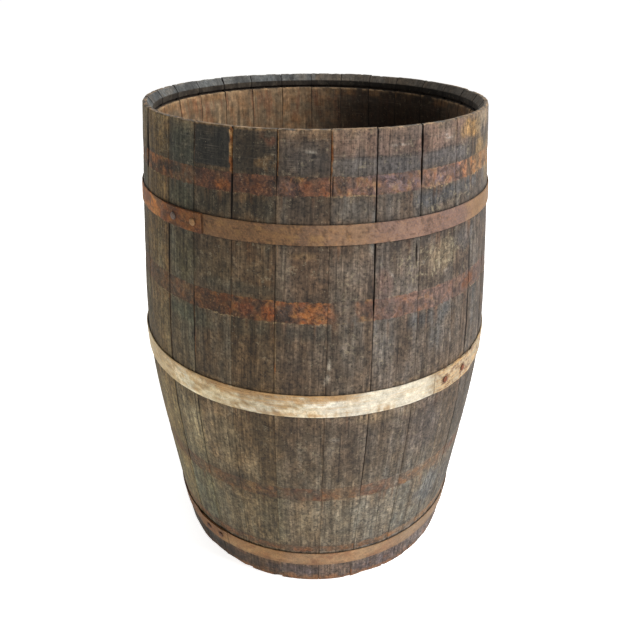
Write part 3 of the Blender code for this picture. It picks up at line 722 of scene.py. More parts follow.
    # some joints have a rusty or pale edge
    edge_r = 1 - smooth(1.2 * mm, 3.6 * mm, i["e_left"])
    edge_l = 1 - smooth(1.2 * mm, 3.6 * mm, i["e_right"])
    if n == 1:
        col = blend(col, rgb(140, 88, 50), edge_r * band(zh, 0.55, 0.70, 0.03) * 0.7)
    if n == 2:
        col = blend(col, rgb(136, 84, 48), edge_r * (band(zh, 0.58, 0.68, 0.03) + band(zh, 0.95, 1.0, 0.02)) * 0.7)
    if n == 4:
        col = blend(col, rgb(150, 124, 92), edge_r * band(zh, 0.53, 0.69, 0.02) * 0.6)
        col = blend(col, rgb(150, 90, 46), edge_r * band(zh, 0.585, 0.60, 0.006) * 0.9)
    if n == 8:
        col = blend(col, rgb(150, 130, 100), edge_r * band(zh, 0.27, 0.48, 0.02) * 0.5)
    if n in (3, 5):
        col = blend(col, rgb(128, 112, 88), (edge_r if n == 5 else edge_l) * band(zh, 0.05, 0.2, 0.03) * 0.4)

    # fresh wood where the arris has split off
    col = blend(col, blend(rgb(150, 94, 54) + 0 * col, rgb(182, 144, 100), smooth(-0.3, 0.6, fine)), i["fresh"])
    dirt_and_shade = dirt_and_shade * (1 - 0.8 * i["fresh"])

    # worn end edge
    rim = smooth(0.9935, 0.9985, zh + 0.0012 * fine)
    col = blend(col, rgb(126, 106, 84), rim * (0.06 + 0.55 * smooth(0.0, 0.7, fbm(x / 0.009, 1.0, n, 64, 3))))
    foot = 1 - smooth(0.006, 0.017, zh + 0.009 * patch2)
    col = blend(col, blend(rgb(136, 94, 62) + 0 * col, rgb(62, 46, 36), smooth(0.0, 0.7, blot)), foot * 0.85)
    chime_bits = (1 - smooth(0.045, 0.06, zh)) * smooth(0.30, 0.8, patch2)
    col = blend(col, rgb(128, 84, 58), chime_bits * 0.5)

    # scrapes
    for t0, z0, st, sz, lean, strength in SCRAPES:
        d = wrap(th - t0) - lean * (zh - z0)
        if abs(lean) > 50:
            d = wrap(th - t0)
            dz = (zh - z0) - d / lean
            m = np.exp(-((d / st) ** 4) - (dz / sz) ** 2)
        else:
            m = np.exp(-((d / st) ** 2) - ((zh - z0) / sz) ** 4)
        m = m * smooth(-0.6, 0.3, fbm(x / 0.006, z / 0.010, n, 65, 3))
        col = blend(col, rgb(186, 180, 166), m * strength * 0.8)

    lichen = 0.28 + 0.25 * wide
    for t0, z0, st, sz, amount in (
        (34, 0.77, 17, 0.045, 0.7), (10, 0.18, 16, 0.06, 0.35), (-4, 0.38, 2.5, 0.09, 0.55), (40, 0.87, 14, 0.02, 0.6), (-14, 0.77, 9, 0.03, 0.5),
        (-18, 0.955, 6, 0.012, 0.25), (-35, 0.905, 4, 0.02, 0.4), (25, 0.38, 8, 0.08, 0.4), (-3, 0.78, 9, 0.02, 0.5), (30, 0.60, 14, 0.05, 0.35), (-32, 0.765, 5, 0.03, 0.45),
    ):  # fmt: skip
        lichen = np.maximum(lichen, spot(wrap(th - t0), zh, 0, z0, st, sz, 0.4 * blot) * amount)
    lichen = lichen * (1 - 0.5 * rust_total * np.maximum.reduce(marks))
    scratch = smooth(0.925, 0.945, zh) * (0.8 - 0.6 * smooth(0.988, 1.0, zh)) + 0.15 * smooth(0.2, 0.6, wide)
    return col, rust_total, lichen, dirt_and_shade, scratch, crumbs, rust_colour


def paint_inside(i):
    n, x, z, zh, kind, depth, away = i["n"], i["x"], i["z"], i["zh"], i["kind"], i["depth"], i["away"]
    th = wrap(i["th"])
    wide = fbm(x / 0.03, z / 0.05, n, 81, 4)
    streak = fbm(x / 0.008, z / 0.12, n, 82, 3)
    blot = fbm(x / 0.014, z / 0.016, n, 83, 4)
    cross = noise(x / 0.03, z / 0.0042, n, 84)
    tone = float(noise(n * 1.7, 2.2, 0, 85))
    col = blend(rgb(132, 106, 78) + 0 * zh[..., None], rgb(112, 100, 82), np.clip(0.45 + 0.5 * wide, 0, 1))
    col = blend(col, rgb(100, 70, 44), smooth(0.0, 0.7, blot + 0.3 * tone) * 0.55)
    col = blend(col, rgb(146, 122, 92), smooth(0.15, 0.8, wide + 0.4 * streak) * 0.5)
    # the wall is darker deeper down
    col = blend(col, rgb(74, 48, 42), (1 - smooth(0.50, 0.80, zh + 0.05 * wide)) * 0.75)
    col = blend(col, rgb(52, 32, 30), (1 - smooth(0.05, 0.35, zh + 0.05 * wide)) * 0.6)
    # painted light and shade: the left side, where the light falls, is a little lighter; the right side, away from the
    # light, is darker, painted shade on stained wood
    col = col * (1 + 0.10 * smooth(90, 110, -th) * (1 - smooth(135, 158, -th)))[..., None]
    col = col * (1 + 0.12 * streak + 0.14 * blot + 0.10 * cross + 0.06 * tone)[..., None]
    col = blend(col, rgb(116, 74, 52), smooth(0.2, 0.7, fbm(x / 0.006, z / 0.05, n, 90, 3)) * band(zh, 0.90, 0.97, 0.02) * 0.5)
    stain_and_shade = smooth(92, 124, th) * (1 - smooth(160, 178, th)) + 0 * th
    stain_and_shade = np.clip(stain_and_shade + 0.26 * (1 - smooth(-180, -168, th)) * (th < 0) + 0.26 * smooth(160, 178, th), 0, 1)
    col = col * (1 - stain_and_shade * (0.55 - 0.08 * smooth(0.2, 0.8, blot)))[..., None]
    col = blend(col, rgb(34, 24, 18), stain_and_shade * 0.30)
    top = z > HEIGHT / 2
    lip = (np.clip(1 - np.abs(away - 30.5 * mm) / (3.4 * mm), 0, 1) * (depth > 19 * mm)) * smooth(-0.5, 0.4, blot)
    col = blend(col, np.where(top[..., None], rgb(176, 150, 114), rgb(96, 72, 54)), lip * 0.8)
    below_lip = band(away, 0.031, 0.044, 0.004)
    col = blend(col, rgb(128, 92, 56), np.where(top, below_lip * smooth(-0.2, 0.5, wide) * 0.5, 0))

    slate = blend(rgb(97, 99, 98) + 0 * col, rgb(70, 72, 72), smooth(-0.3, 0.6, fbm(x / 0.020, (z + depth) / 0.004, n, 86, 3)))
    slate = blend(slate, rgb(104, 92, 78), np.clip(smooth(150, 205, i["th"] % 360) * 0 + smooth(20, 60, th) * 0.6 + 0.25 * (wide > 0.4), 0, 1))
    slate = slate * (1 + 0.10 * fbm(x / 0.004, (z + depth) / 0.004, n, 87, 3))[..., None]
    edge = np.clip(1 - np.abs(depth - 8.3 * mm) / (1.3 * mm), 0, 1) * (kind != OUTSIDE)
    slate = blend(slate, rgb(132, 128, 118), edge * 0.55 * smooth(-0.5, 0.4, blot))
    howel = blend(rgb(64, 58, 50) + 0 * col, rgb(44, 38, 32), smooth(-0.3, 0.5, blot))
    # painted shade on the howel and the bevel at the side away from the light
    howel = howel * (1 - 0.45 * np.clip(stain_and_shade, 0, 1))[..., None]
    slate = slate * (1 - 0.18 * np.clip(stain_and_shade, 0, 1))[..., None]
    # the croze groove is painted near black: painted shadow in the groove, with dark rot
    croze = rgb(40, 33, 27) + 0 * col
    flat = blend(rgb(138, 116, 90) + 0 * col, rgb(88, 82, 75), smooth(-0.35, 0.5, fbm(x / 0.012, depth / 0.003, n, 88, 3)))
    flat = flat * (1 + 0.12 * fbm(x / 0.003, depth / 0.0015, n, 89, 2))[..., None]
    backrim = smooth(95, 130, np.abs(th))
    flat = blend(flat, slate, backrim * 0.75)
    for which, colour in ((BEVEL, slate), (HOWEL, howel), (CROZE, croze), (FLAT, flat)):
        col = np.where((kind == which)[..., None], colour, col)
    # the end that stands on the ground
    low = (zh < 0.5) & np.isin(kind, (BEVEL, HOWEL, FLAT, CROZE))
    col = np.where(low[..., None], col * 0.72 + 0.02, col)
    dirt_and_shade = np.zeros_like(zh)
    for side, opened in (("e_left", "open_left"), ("e_right", "open_right")):
        e, gap = i[side], i[opened]
        reach = 0.35 * mm + 0.9 * gap
        dirt_and_shade = np.maximum(dirt_and_shade, 1 - smooth(reach * 0.8, reach * 2.2, e))
    dirt_and_shade = np.where(kind == FLAT, dirt_and_shade * 0.8, dirt_and_shade)
    lichen = np.full_like(zh, 0.2)
    return col, np.zeros_like(zh), lichen, dirt_and_shade, np.where(np.isin(kind, (WALL, LIP)), 0.45, 0.1)


def stave_attributes(i):
    out = paint_outside(i)
    inn = paint_inside(i)
    is_out = i["kind"] == OUTSIDE
    col = np.where(is_out[..., None], out[0], inn[0])
    rust, lichen, dirt_and_shade, scratch = (np.where(is_out, a, b) for a, b in zip(out[1:5], inn[1:]))
    th, zh = wrap(i["th"]), i["zh"]
    front = 1 - smooth(85, 105, np.abs(th))
    shade = 0.74 - 0.06 * band(zh, 0.725, 0.815, 0.01)
    # (height span, angle span, change): painted light and shade, broad fields painted lighter and darker
    for low, high, start, end, change in (
        (0.31, 0.475, -18, 95, -0.38), (0.31, 0.475, -46, -36, 0.30), (0.52, 0.67, -46, -36, 0.28), (0.32, 0.475, -36, -22, 0.12),
        (0.262, 0.31, -34, 2, -0.20), (0.52, 0.67, -8, 16, -0.12), (0.86, 0.895, -9, 3, -0.20), (0.86, 0.90, 54, 68, 0.25), (0.93, 0.998, 17, 30, -0.18),
        (0.93, 0.99, -47, -36, 0.14), (0.13, 0.26, 52, 75, -0.22), (0.13, 0.26, 40, 54, -0.06), (0.10, 0.125, 28, 70, 0.32), (0.10, 0.125, -9, 16, 0.14),
        (0.10, 0.125, -60, -36, 0.14), (0.68, 0.722, 48, 70, -0.22), (0.725, 0.81, 43, 54, -0.14), (0.0, 0.055, -95, -46, -0.72), (0.0, 0.055, -46, -34, -0.38),
        (0.68, 0.722, -47, -36, 0.12), (0.68, 0.722, -34, -23, -0.12), (0.0, 0.055, -9, 95, 0.15), (0.898, 0.93, 30, 54, 0.20), (0.898, 0.93, -34, -10, -0.10),
        (0.68, 0.722, 17, 42, 0.16), (0.68, 0.722, -21, -11, -0.14), (0.86, 0.895, 30, 54, 0.10), (0.93, 0.998, -9, 3, -0.08), (0.898, 0.93, -9, 3, -0.14), (0.52, 0.67, 54, 68, -0.12), (0.31, 0.475, 54, 68, -0.16), (0.125, 0.25, 54, 68, -0.14),
    ):  # fmt: skip
        shade = shade * (1 + change * band(zh, low, high, 0.012) * band(th, start, end, 3.0) * front)
    # painted light colour: the left side warmer, the right side cooler
    tint = np.stack([1 - 0.03 * smooth(8, 20, th), 1 + 0 * th, 1 + 0.08 * smooth(8, 20, th) - (0.13 * (1 - smooth(-13, -7, th)) + 0.09 * (1 - smooth(-38, -34, th)) + 0.09 * (1 - smooth(-50, -46, th))) * smooth(-110, -80, th)], axis=-1)
    paint = to_linear(np.clip(col, 0.02, 0.98)) * np.where(is_out[..., None], shade[..., None] * tint, 1.0)
    mask = np.stack([rust, lichen, dirt_and_shade], axis=-1)
    grain = np.stack([i["x"], i["z"], i["depth"] + 0 * i["x"]], axis=-1)
    rusty = to_linear(np.clip(out[6], 0.02, 0.98)) * shade[..., None] * tint
    more = np.stack([scratch, np.where(is_out, out[5], 0.0), np.where(is_out, 0.0, 1.0)], axis=-1)
    hidden = 2 * 78  # the points of the bend
    made = {"c_paint": (paint, (0.03, 0.022, 0.017)), "c_rust": (rusty, (0.03, 0.022, 0.017)), "mask": (mask, (0, 0, 1)), "grain": (grain, (0, 0, 0.013)), "more": (more, (0, 0, 1))}
    return {key: np.concatenate([v.reshape(-1, 3), np.tile(np.array(rest, float), (hidden, 1))]) for key, (v, rest) in made.items()}


# Node materials


class Nodes:
    def __init__(self, name):
        self.material = bpy.data.materials.new(name)
        self.material.use_nodes = True
        self.tree = self.material.node_tree
        self.shader = self.tree.nodes["Principled BSDF"]
        self.shader.inputs["Specular IOR Level"].default_value = 0.35
        self.coords = self.tree.nodes.new("ShaderNodeTexCoord")

    def put(self, socket, value):
        if isinstance(value, bpy.types.NodeSocket):
            self.tree.links.new(value, socket)
        else:
            socket.default_value = value

    def attribute(self, name, out="Vector"):
        node = self.tree.nodes.new("ShaderNodeAttribute")
        node.attribute_name = name
        return node.outputs[out]

    def parts(self, vector):
        node = self.tree.nodes.new("ShaderNodeSeparateXYZ")
        self.put(node.inputs[0], vector)
        return node.outputs

    def scaled(self, vector, scale):
        node = self.tree.nodes.new("ShaderNodeMapping")
        self.put(node.inputs["Vector"], vector)
        node.inputs["Scale"].default_value = scale
        return node.outputs[0]

    def noise(self, vector, scale=1.0, detail=3.0, rough=0.55, distortion=0.0):
        node = self.tree.nodes.new("ShaderNodeTexNoise")
        self.put(node.inputs["Vector"], vector)
        node.inputs["Scale"].default_value = scale
        node.inputs["Detail"].default_value = detail
        node.inputs["Roughness"].default_value = rough
        node.inputs["Distortion"].default_value = distortion
        return node.outputs["Fac"]

    def cells(self, vector, scale):
        node = self.tree.nodes.new("ShaderNodeTexVoronoi")
        self.put(node.inputs["Vector"], vector)
        node.inputs["Scale"].default_value = scale
        return node.outputs["Distance"]

    def remap(self, value, a, b, c, d, smooth_step=False):
        node = self.tree.nodes.new("ShaderNodeMapRange")
        if smooth_step:
            node.interpolation_type = "SMOOTHSTEP"
        self.put(node.inputs["Value"], value)
        for key, v in (("From Min", a), ("From Max", b), ("To Min", c), ("To Max", d)):
            self.put(node.inputs[key], v)
        return node.outputs[0]

    def math(self, op, a, b=0.0, clamp=False):
        node = self.tree.nodes.new("ShaderNodeMath")
        node.operation = op
        node.use_clamp = clamp
        self.put(node.inputs[0], a)
        self.put(node.inputs[1], b)
        return node.outputs[0]

    def mixed(self, fac, a, b):
        node = self.tree.nodes.new("ShaderNodeMix")
        node.data_type = "FLOAT"
        for key, v in (("Factor", fac), ("A", a), ("B", b)):
            socket = [s for s in node.inputs if s.name == key and s.type == "VALUE"][0]
            self.put(socket, v)
        return [s for s in node.outputs if s.type == "VALUE"][0]

    def mix(self, fac, a, b, mode="MIX"):
        node = self.tree.nodes.new("ShaderNodeMix")
        node.data_type = "RGBA"
        node.blend_type = mode
        self.put(node.inputs["Factor"], fac)
        for key, v in (("A", a), ("B", b)):
            socket = [s for s in node.inputs if s.name == key and s.type == "RGBA"][0]
            self.put(socket, v if isinstance(v, bpy.types.NodeSocket) else (*to_linear(np.array(v) / 255), 1.0))
        return [s for s in node.outputs if s.type == "RGBA"][0]

    def scale_colour(self, colour, by):
        node = self.tree.nodes.new("ShaderNodeVectorMath")
        node.operation = "SCALE"
        self.put(node.inputs[0], colour)
        self.put(node.inputs["Scale"], by)
        return node.outputs["Vector"]

    def bump(self, height, strength, distance):
        node = self.tree.nodes.new("ShaderNodeBump")
        node.inputs["Strength"].default_value = strength
        node.inputs["Distance"].default_value = distance
        self.put(node.inputs["Height"], height)
        self.put(self.shader.inputs["Normal"], node.outputs[0])


def wood_material(name, banded=False):
    m = Nodes(name)
    grain = m.attribute("grain")
    solid = m.coords.outputs["Object"]
    rust, lichen, dirt_and_shade = m.parts(m.attribute("mask"))
    scratch, crumbs, inside = m.parts(m.attribute("more"))
    fibre = m.noise(m.scaled(grain, (330, 16, 330)), detail=4, rough=0.6)
    strand = m.noise(m.scaled(grain, (85, 4.5, 85)), detail=4, rough=0.6)
    mottle = m.noise(solid, scale=105, detail=5, rough=0.68)
    cloud = m.noise(solid, scale=30, detail=3, rough=0.6)
    level = m.math("MULTIPLY", m.remap(fibre, 0.3, 0.7, 0.74, 1.24), m.remap(strand, 0.3, 0.7, 0.86, 1.14))
    grit = m.noise(solid, scale=210, detail=4, rough=0.70)
    level = m.math("MULTIPLY", level, m.remap(mottle, 0.3, 0.7, 0.68, 1.34))
    level = m.math("MULTIPLY", level, m.mixed(inside, m.remap(grit, 0.3, 0.7, 0.66, 1.36), m.remap(mottle, 0.3, 0.7, 0.84, 1.16)))
    vein = m.noise(m.scaled(grain, (175, 7, 175)), detail=4, rough=0.62, distortion=0.25)
    level = m.math("MULTIPLY", level, m.mixed(inside, m.remap(vein, 0.36, 0.60, 0.66, 1.22), 1.0))
    flaw = m.remap(m.noise(solid, scale=210, detail=4, rough=0.66), 0.33, 0.47, 0.62, 1.03, True)
    level = m.math("MULTIPLY", level, m.mixed(inside, flaw, 1.0))
    colour = m.scale_colour(m.attribute("c_paint", "Color"), level)
    warm = m.remap(cloud, 0.35, 0.65, 0.0, 1.0)
    colour = m.mix(m.math("MULTIPLY", warm, 0.35), colour, m.mix(1.0, colour, (255, 232, 205), "MULTIPLY"))
    # open pores and fine checks, along the grain
    pore = m.remap(m.noise(m.scaled(grain, (420, 34, 420)), detail=2, rough=0.5), 0.60, 0.70, 0.0, 1.0, True)
    check = m.remap(m.noise(m.scaled(grain, (170, 3.2, 170)), detail=3, rough=0.55), 0.610, 0.690, 0.0, 1.0, True)
    gone = m.math("MAXIMUM", m.math("MULTIPLY", pore, 0.42), m.math("MULTIPLY", check, 0.62))
    gone = m.math("MULTIPLY", gone, m.remap(inside, 0, 1, 1.0, 0.55))
    colour = m.mix(gone, colour, (30, 23, 18))
    # fine marks across the grain
    across = m.noise(m.scaled(grain, (16, 620, 16)), detail=3, rough=0.6, distortion=0.35)
    pale = m.math("MULTIPLY", m.remap(across, 0.58, 0.72, 0.0, 1.0, True), m.math("MULTIPLY", scratch, 0.22))
    dark = m.math("MULTIPLY", m.remap(across, 0.42, 0.30, 0.0, 1.0, True), m.math("MULTIPLY", scratch, 0.5))
    colour = m.mix(pale, colour, (164, 152, 134))
    colour = m.mix(dark, colour, (34, 29, 26))
    # rust that the missing hoops have left: bands with ragged edges, patchy inside
    if banded:
        along = m.parts(grain)[1]
        rag = m.math("ADD", m.remap(m.noise(solid, scale=130, detail=4, rough=0.65), 0.2, 0.8, -0.0026, 0.0026), m.remap(m.noise(solid, scale=26, detail=2), 0.2, 0.8, -0.0018, 0.0018))
        place = m.math("ADD", along, rag)
        held = m.remap(rust, 0.0, 0.25, 0.0, 1.0, True)
        cover, under = 0.0, 0.0
        for (low, high), soft, pale in zip(GHOSTS, (0.0005, 0.0005, 0.0008, 0.0014), (0.55, 0.62, 0.25, 0.12)):
            low, high = low * HEIGHT, high * HEIGHT
            one = m.math("MINIMUM", m.remap(place, low - soft, low + soft, 0.0, 1.0, True), m.remap(place, high + soft, high - soft, 0.0, 1.0, True))
            cover = m.math("MAXIMUM", cover, one)
            rim = m.remap(m.math("ABSOLUTE", m.math("SUBTRACT", place, low - 0.0006)), 0.0, 0.0022, pale, 0.0, True)
            under = m.math("MAXIMUM", under, rim)
        coat = m.scale_colour(m.attribute("c_rust", "Color"), m.math("MULTIPLY", m.remap(mottle, 0.3, 0.7, 0.70, 1.32), m.remap(grit, 0.3, 0.7, 0.74, 1.28)))
        bloom = m.noise(solid, scale=84, detail=4, rough=0.62, distortion=0.6)
        coat = m.mix(m.remap(bloom, 0.53, 0.60, 0.0, 0.60, True), coat, m.mix(1.0, coat, (255, 220, 168), "MULTIPLY"))
        coat = m.mix(m.remap(bloom, 0.48, 0.41, 0.0, 0.75, True), coat, m.mix(1.0, coat, (150, 146, 150), "MULTIPLY"))
        colour = m.mix(m.math("MULTIPLY", cover, rust), colour, coat)
        flecks = m.remap(m.noise(solid, scale=170, detail=3, rough=0.62), 0.48, 0.60, 0.0, 1.0, True)
        stretch = m.remap(m.noise(solid, scale=15, detail=2, rough=0.5), 0.47, 0.60, 0.0, 1.0, True)
        flecks = m.math("MULTIPLY", flecks, m.math("MULTIPLY", held, stretch))
        colour = m.mix(m.math("MULTIPLY", under, flecks), colour, (156, 132, 94))
        rust = m.math("MULTIPLY", m.math("MULTIPLY", cover, rust), crumbs)
    # pale lichen and lime: soft crusts, with curled edges where they are thick
    crust = m.noise(solid, scale=120, detail=5, rough=0.72)
    cover = m.math("ADD", crust, m.math("MULTIPLY", lichen, 0.11))
    spots = m.remap(cover, 0.60, 0.72, 0.0, 1.0, True)
    colour = m.mix(m.math("MULTIPLY", spots, m.remap(lichen, 0.0, 1.0, 0.20, 0.55)), colour, (152, 140, 114))
    curl = m.math("ABSOLUTE", m.math("SUBTRACT", m.noise(solid, scale=62, detail=3, rough=0.6, distortion=1.2), 0.5))
    curl = m.math("MULTIPLY", m.remap(curl, 0.0, 0.022, 1.0, 0.0, True), m.remap(lichen, 0.35, 0.8, 0.0, 0.6, True))
    colour = m.mix(m.math("MULTIPLY", curl, m.remap(crust, 0.42, 0.55, 0.0, 0.8, True)), colour, (160, 147, 120))
    speck = m.noise(solid, scale=300, detail=2, rough=0.6)
    colour = m.mix(m.math("MULTIPLY", m.remap(speck, 0.70, 0.76, 0.0, 1.0, True), 0.4), colour, (170, 158, 130))
    # rust crumbs
    crumb = m.noise(solid, scale=240, detail=4, rough=0.7)
    colour = m.mix(m.math("MULTIPLY", rust, m.remap(crumb, 0.53, 0.67, 0.0, 0.42, True)), colour, (146, 98, 62))
    colour = m.mix(m.math("MULTIPLY", rust, m.remap(crumb, 0.46, 0.34, 0.0, 0.80, True)), colour, (44, 32, 27))
    # dirt in the joints and checks, and painted shade along the hoops' edges
    ragged = m.remap(m.noise(solid, scale=420, detail=3), 0.3, 0.7, -0.35, 0.35)
    grime_and_shade = m.remap(m.math("ADD", dirt_and_shade, m.math("MULTIPLY", ragged, m.math("SUBTRACT", 1.0, m.math("ABSOLUTE", m.math("SUBTRACT", m.math("MULTIPLY", dirt_and_shade, 2.0), 1.0))))), 0.1, 0.9, 0.0, 1.0, True)
    colour = m.mix(m.math("MULTIPLY", grime_and_shade, 0.90), colour, (20, 15, 12))
    m.put(m.shader.inputs["Base Color"], colour)
    m.put(m.shader.inputs["Roughness"], m.remap(mottle, 0.3, 0.7, 0.80, 0.94))
    height = m.math("ADD", m.math("MULTIPLY", fibre, 0.8), m.math("MULTIPLY", mottle, 0.45))
    height = m.math("SUBTRACT", height, m.math("MULTIPLY", m.math("MAXIMUM", pore, check), 0.5))
    height = m.math("ADD", height, m.math("MULTIPLY", m.math("MULTIPLY", rust, crumb), 0.9))
    height = m.math("SUBTRACT", height, m.math("MULTIPLY", m.math("MULTIPLY", scratch, across), 0.5))
    m.bump(height, 0.75, 0.0009)
    return m.material


def iron_material(name, crumb_dark, crumb_light, amount, rough_low, rough_high, metallic):
    m = Nodes(name)
    solid = m.coords.outputs["Object"]
    rust, chips, dirt_and_shade = m.parts(m.attribute("mask"))
    grain = m.attribute("grain")
    fine = m.noise(solid, scale=380, detail=4, rough=0.65)
    mottle = m.noise(solid, scale=120, detail=5, rough=0.68)
    level = m.math("MULTIPLY", m.remap(fine, 0.3, 0.7, 0.80, 1.20), m.remap(mottle, 0.3, 0.7, 0.76, 1.24))
    colour = m.scale_colour(m.attribute("c_paint", "Color"), level)
    crumb = m.noise(solid, scale=300, detail=4, rough=0.7)
    colour = m.mix(m.math("MULTIPLY", rust, m.remap(crumb, 0.53, 0.66, 0.0, amount, True)), colour, crumb_light)
    colour = m.mix(m.math("MULTIPLY", rust, m.remap(crumb, 0.46, 0.34, 0.0, amount, True)), colour, crumb_dark)
    # a fine scribble of bare spots and dirt where the coat is worn
    scribble = m.noise(solid, scale=230, detail=5, rough=0.74, distortion=1.2)
    colour = m.mix(m.math("MULTIPLY", chips, m.remap(scribble, 0.52, 0.62, 0.0, 0.75, True)), colour, m.mix(1.0, colour, (206, 178, 134), "MULTIPLY"))
    colour = m.mix(m.math("MULTIPLY", chips, m.remap(scribble, 0.44, 0.35, 0.0, 0.55, True)), colour, m.mix(1.0, colour, (176, 150, 118), "MULTIPLY"))
    # brush and wear streaks along the strip
    streak = m.noise(m.scaled(grain, (22, 420, 22)), detail=4, rough=0.6, distortion=0.5)
    worn = m.math("MULTIPLY", chips, m.remap(streak, 0.50, 0.62, 0.0, 0.85, True))
    colour = m.mix(worn, colour, crumb_light)
    pit = m.remap(m.cells(solid, 260), 0.05, 0.22, 1.0, 0.0, True)
    pits = m.math("MULTIPLY", pit, m.remap(mottle, 0.5, 0.62, 0.0, 0.55, True))
    pits = m.math("MULTIPLY", pits, rust)
    colour = m.mix(pits, colour, crumb_dark)
    # dirt, and painted shade along the hoop's edges and on its inner face
    grime_and_shade = m.remap(m.math("ADD", dirt_and_shade, m.remap(fine, 0.3, 0.7, -0.2, 0.2)), 0.25, 0.85, 0.0, 0.9, True)
    colour = m.mix(grime_and_shade, colour, (34, 24, 18))
    m.put(m.shader.inputs["Base Color"], colour)
    m.shader.inputs["Metallic"].default_value = metallic
    m.put(m.shader.inputs["Roughness"], m.remap(mottle, 0.3, 0.7, rough_low, rough_high))
    height = m.math("ADD", m.math("MULTIPLY", crumb, m.remap(rust, 0, 1, 0.25, 0.9)), m.math("MULTIPLY", fine, 0.4))
    height = m.math("SUBTRACT", height, m.math("MULTIPLY", pits, 0.8))
    height = m.math("SUBTRACT", height, m.math("MULTIPLY", worn, 0.35))
    m.bump(height, 0.7, 0.0007)
    return m.material


OAK = wood_material("weathered_oak", True)
HEAD_OAK = wood_material("head_oak")
BUNG_OAK = wood_material("bung_oak")

# Staves


def cut_hole(obj, cutter_mesh):
    """Applies a Boolean difference to obj's mesh, then removes the cutter."""
    other = bpy.data.objects.new("hole_cutter", cutter_mesh)
    bpy.context.scene.collection.objects.link(other)
    made = obj.modifiers.new("hole", "BOOLEAN")
    made.operation = "DIFFERENCE"
    made.solver = "EXACT"
    made.object = other
    bpy.context.view_layer.update()
    graph = bpy.context.evaluated_depsgraph_get()
    cut = bpy.data.meshes.new_from_object(obj.evaluated_get(graph), preserve_all_data_layers=True, depsgraph=graph)
    obj.modifiers.remove(made)
    old = obj.data
    obj.data = cut
    bpy.data.meshes.remove(old)
    bpy.data.objects.remove(other)
    bpy.data.meshes.remove(cutter_mesh)


bung_angle = (JOINTS[BUNG_STAVE] + JOINTS[BUNG_STAVE + 1]) / 2 + float(lean_at(BUNG_HEIGHT))
bung_out = Vector((sin(radians(bung_angle)), -cos(radians(bung_angle)), 0))
bung_seat = bung_out * float(outside(BUNG_HEIGHT)) + Vector((0, 0, BUNG_HEIGHT))
bung_frame = Matrix.Translation(bung_seat) @ bung_out.to_track_quat("Z", "Y").to_matrix().to_4x4()


def bung_radius(depth):
    return BUNG_OUTER_RADIUS - (BUNG_OUTER_RADIUS - BUNG_INNER_RADIUS) * depth / BUNG_LENGTH


def turned_mesh(name, profile, sides):
    """A closed turned solid about local Z from a list of (radius, height) with no point on the axis but the ends."""
    pts = [(0.0, 0.0, profile[0][1])]
    for r, z in profile[1:-1]:
        pts += [(r * cos(2 * pi * k / sides), r * sin(2 * pi * k / sides), z) for k in range(sides)]
    pts.append((0.0, 0.0, profile[-1][1]))
    rings = len(profile) - 2
    tris = [(0, 1 + k, 1 + (k + 1) % sides) for k in range(sides)]
    last = 1 + (rings - 1) * sides
    tris += [(len(pts) - 1, last + (k + 1) % sides, last + k) for k in range(sides)]
    quads = []
    for r in range(rings - 1):
        a, b = 1 + r * sides, 1 + (r + 1) * sides
        quads += [(a + k, b + k, b + (k + 1) % sides, a + (k + 1) % sides) for k in range(sides)]
    mesh = bpy.data.meshes.new(name)
    mesh.from_pydata(pts, [], tris + quads)
    mesh.update()
    return mesh


for n in range(len(JOINTS)):
    points, faces, info = make_stave(n)
    node = "bung_stave" if n == BUNG_STAVE else f"stave_{n + 1:02d}"
    attributes = stave_attributes(info)
    if n == BUNG_STAVE:
        # wine stains round the bung and below it
        away = np.linalg.norm(points - np.array(bung_seat), axis=1)
        soak = (1 - smooth(0.026, 0.052, away + 0.008 * fbm(points[:, 0] / 0.012, points[:, 2] / 0.012, 0, 91, 3)))
        side = points[:, 0] * cos(radians(bung_angle)) + points[:, 1] * sin(radians(bung_angle))
        run = (1 - smooth(0.010, 0.020, np.abs(side) + 0.006 * fbm(points[:, 0] / 0.008, points[:, 2] / 0.05, 0, 92, 3))) * band(points[:, 2], 0.16, BUNG_HEIGHT, 0.02)
        outer = np.concatenate([info["kind"].ravel() == OUTSIDE, np.zeros(2 * 78, bool)])
        stain = np.clip(np.maximum(soak * 0.8, run * 0.5 * smooth(0.1, 0.4, points[:, 2])), 0, 1) * outer
        attributes["c_paint"] = blend(attributes["c_paint"], to_linear(rgb(62, 38, 42)), stain)
    mesh = build_mesh(f"{node}_oak_mesh", points, faces, attributes)
    piece = add_piece(f"{node}_weathered", mesh, OAK, "barrel", node)
    if n == BUNG_STAVE:
        hole = turned_mesh(
            "hole",
            [(0, 0.012), (bung_radius(-0.012) + 0.0004, 0.012), (bung_radius(0.0) + 0.0004, 0.0), (bung_radius(BUNG_LENGTH + 0.012) + 0.0004, -BUNG_LENGTH - 0.012), (0, -BUNG_LENGTH - 0.012)],
            64,
        )
        hole.transform(bung_frame)
        cut_hole(piece, hole)
        # the cut's new points are painted dark: painted shade inside the hole
        co = np.zeros(len(piece.data.vertices) * 3, np.float32)
        piece.data.vertices.foreach_get("co", co)
        rel = co.reshape(-1, 3) - np.array(bung_seat)
        along = rel @ np.array(bung_out)
        off = np.linalg.norm(rel - along[:, None] * np.array(bung_out), axis=1)
        wall = off < bung_radius(-along) + 0.0008
        for key, value in (("c_paint", (0.045, 0.024, 0.022, 1.0)), ("c_rust", (0.045, 0.024, 0.022, 1.0)), ("mask", (0.0, 0.0, 0.55)), ("more", (0.0, 0.0, 1.0))):
            layer = piece.data.attributes[key]
            for k in np.where(wall)[0]:
                if key.startswith("c"):
                    layer.data[int(k)].color = value
                else:
                    layer.data[int(k)].vector = value
        piece.data.shade_smooth()
        piece.data.set_sharp_from_angle(angle=radians(50))

# Hoops


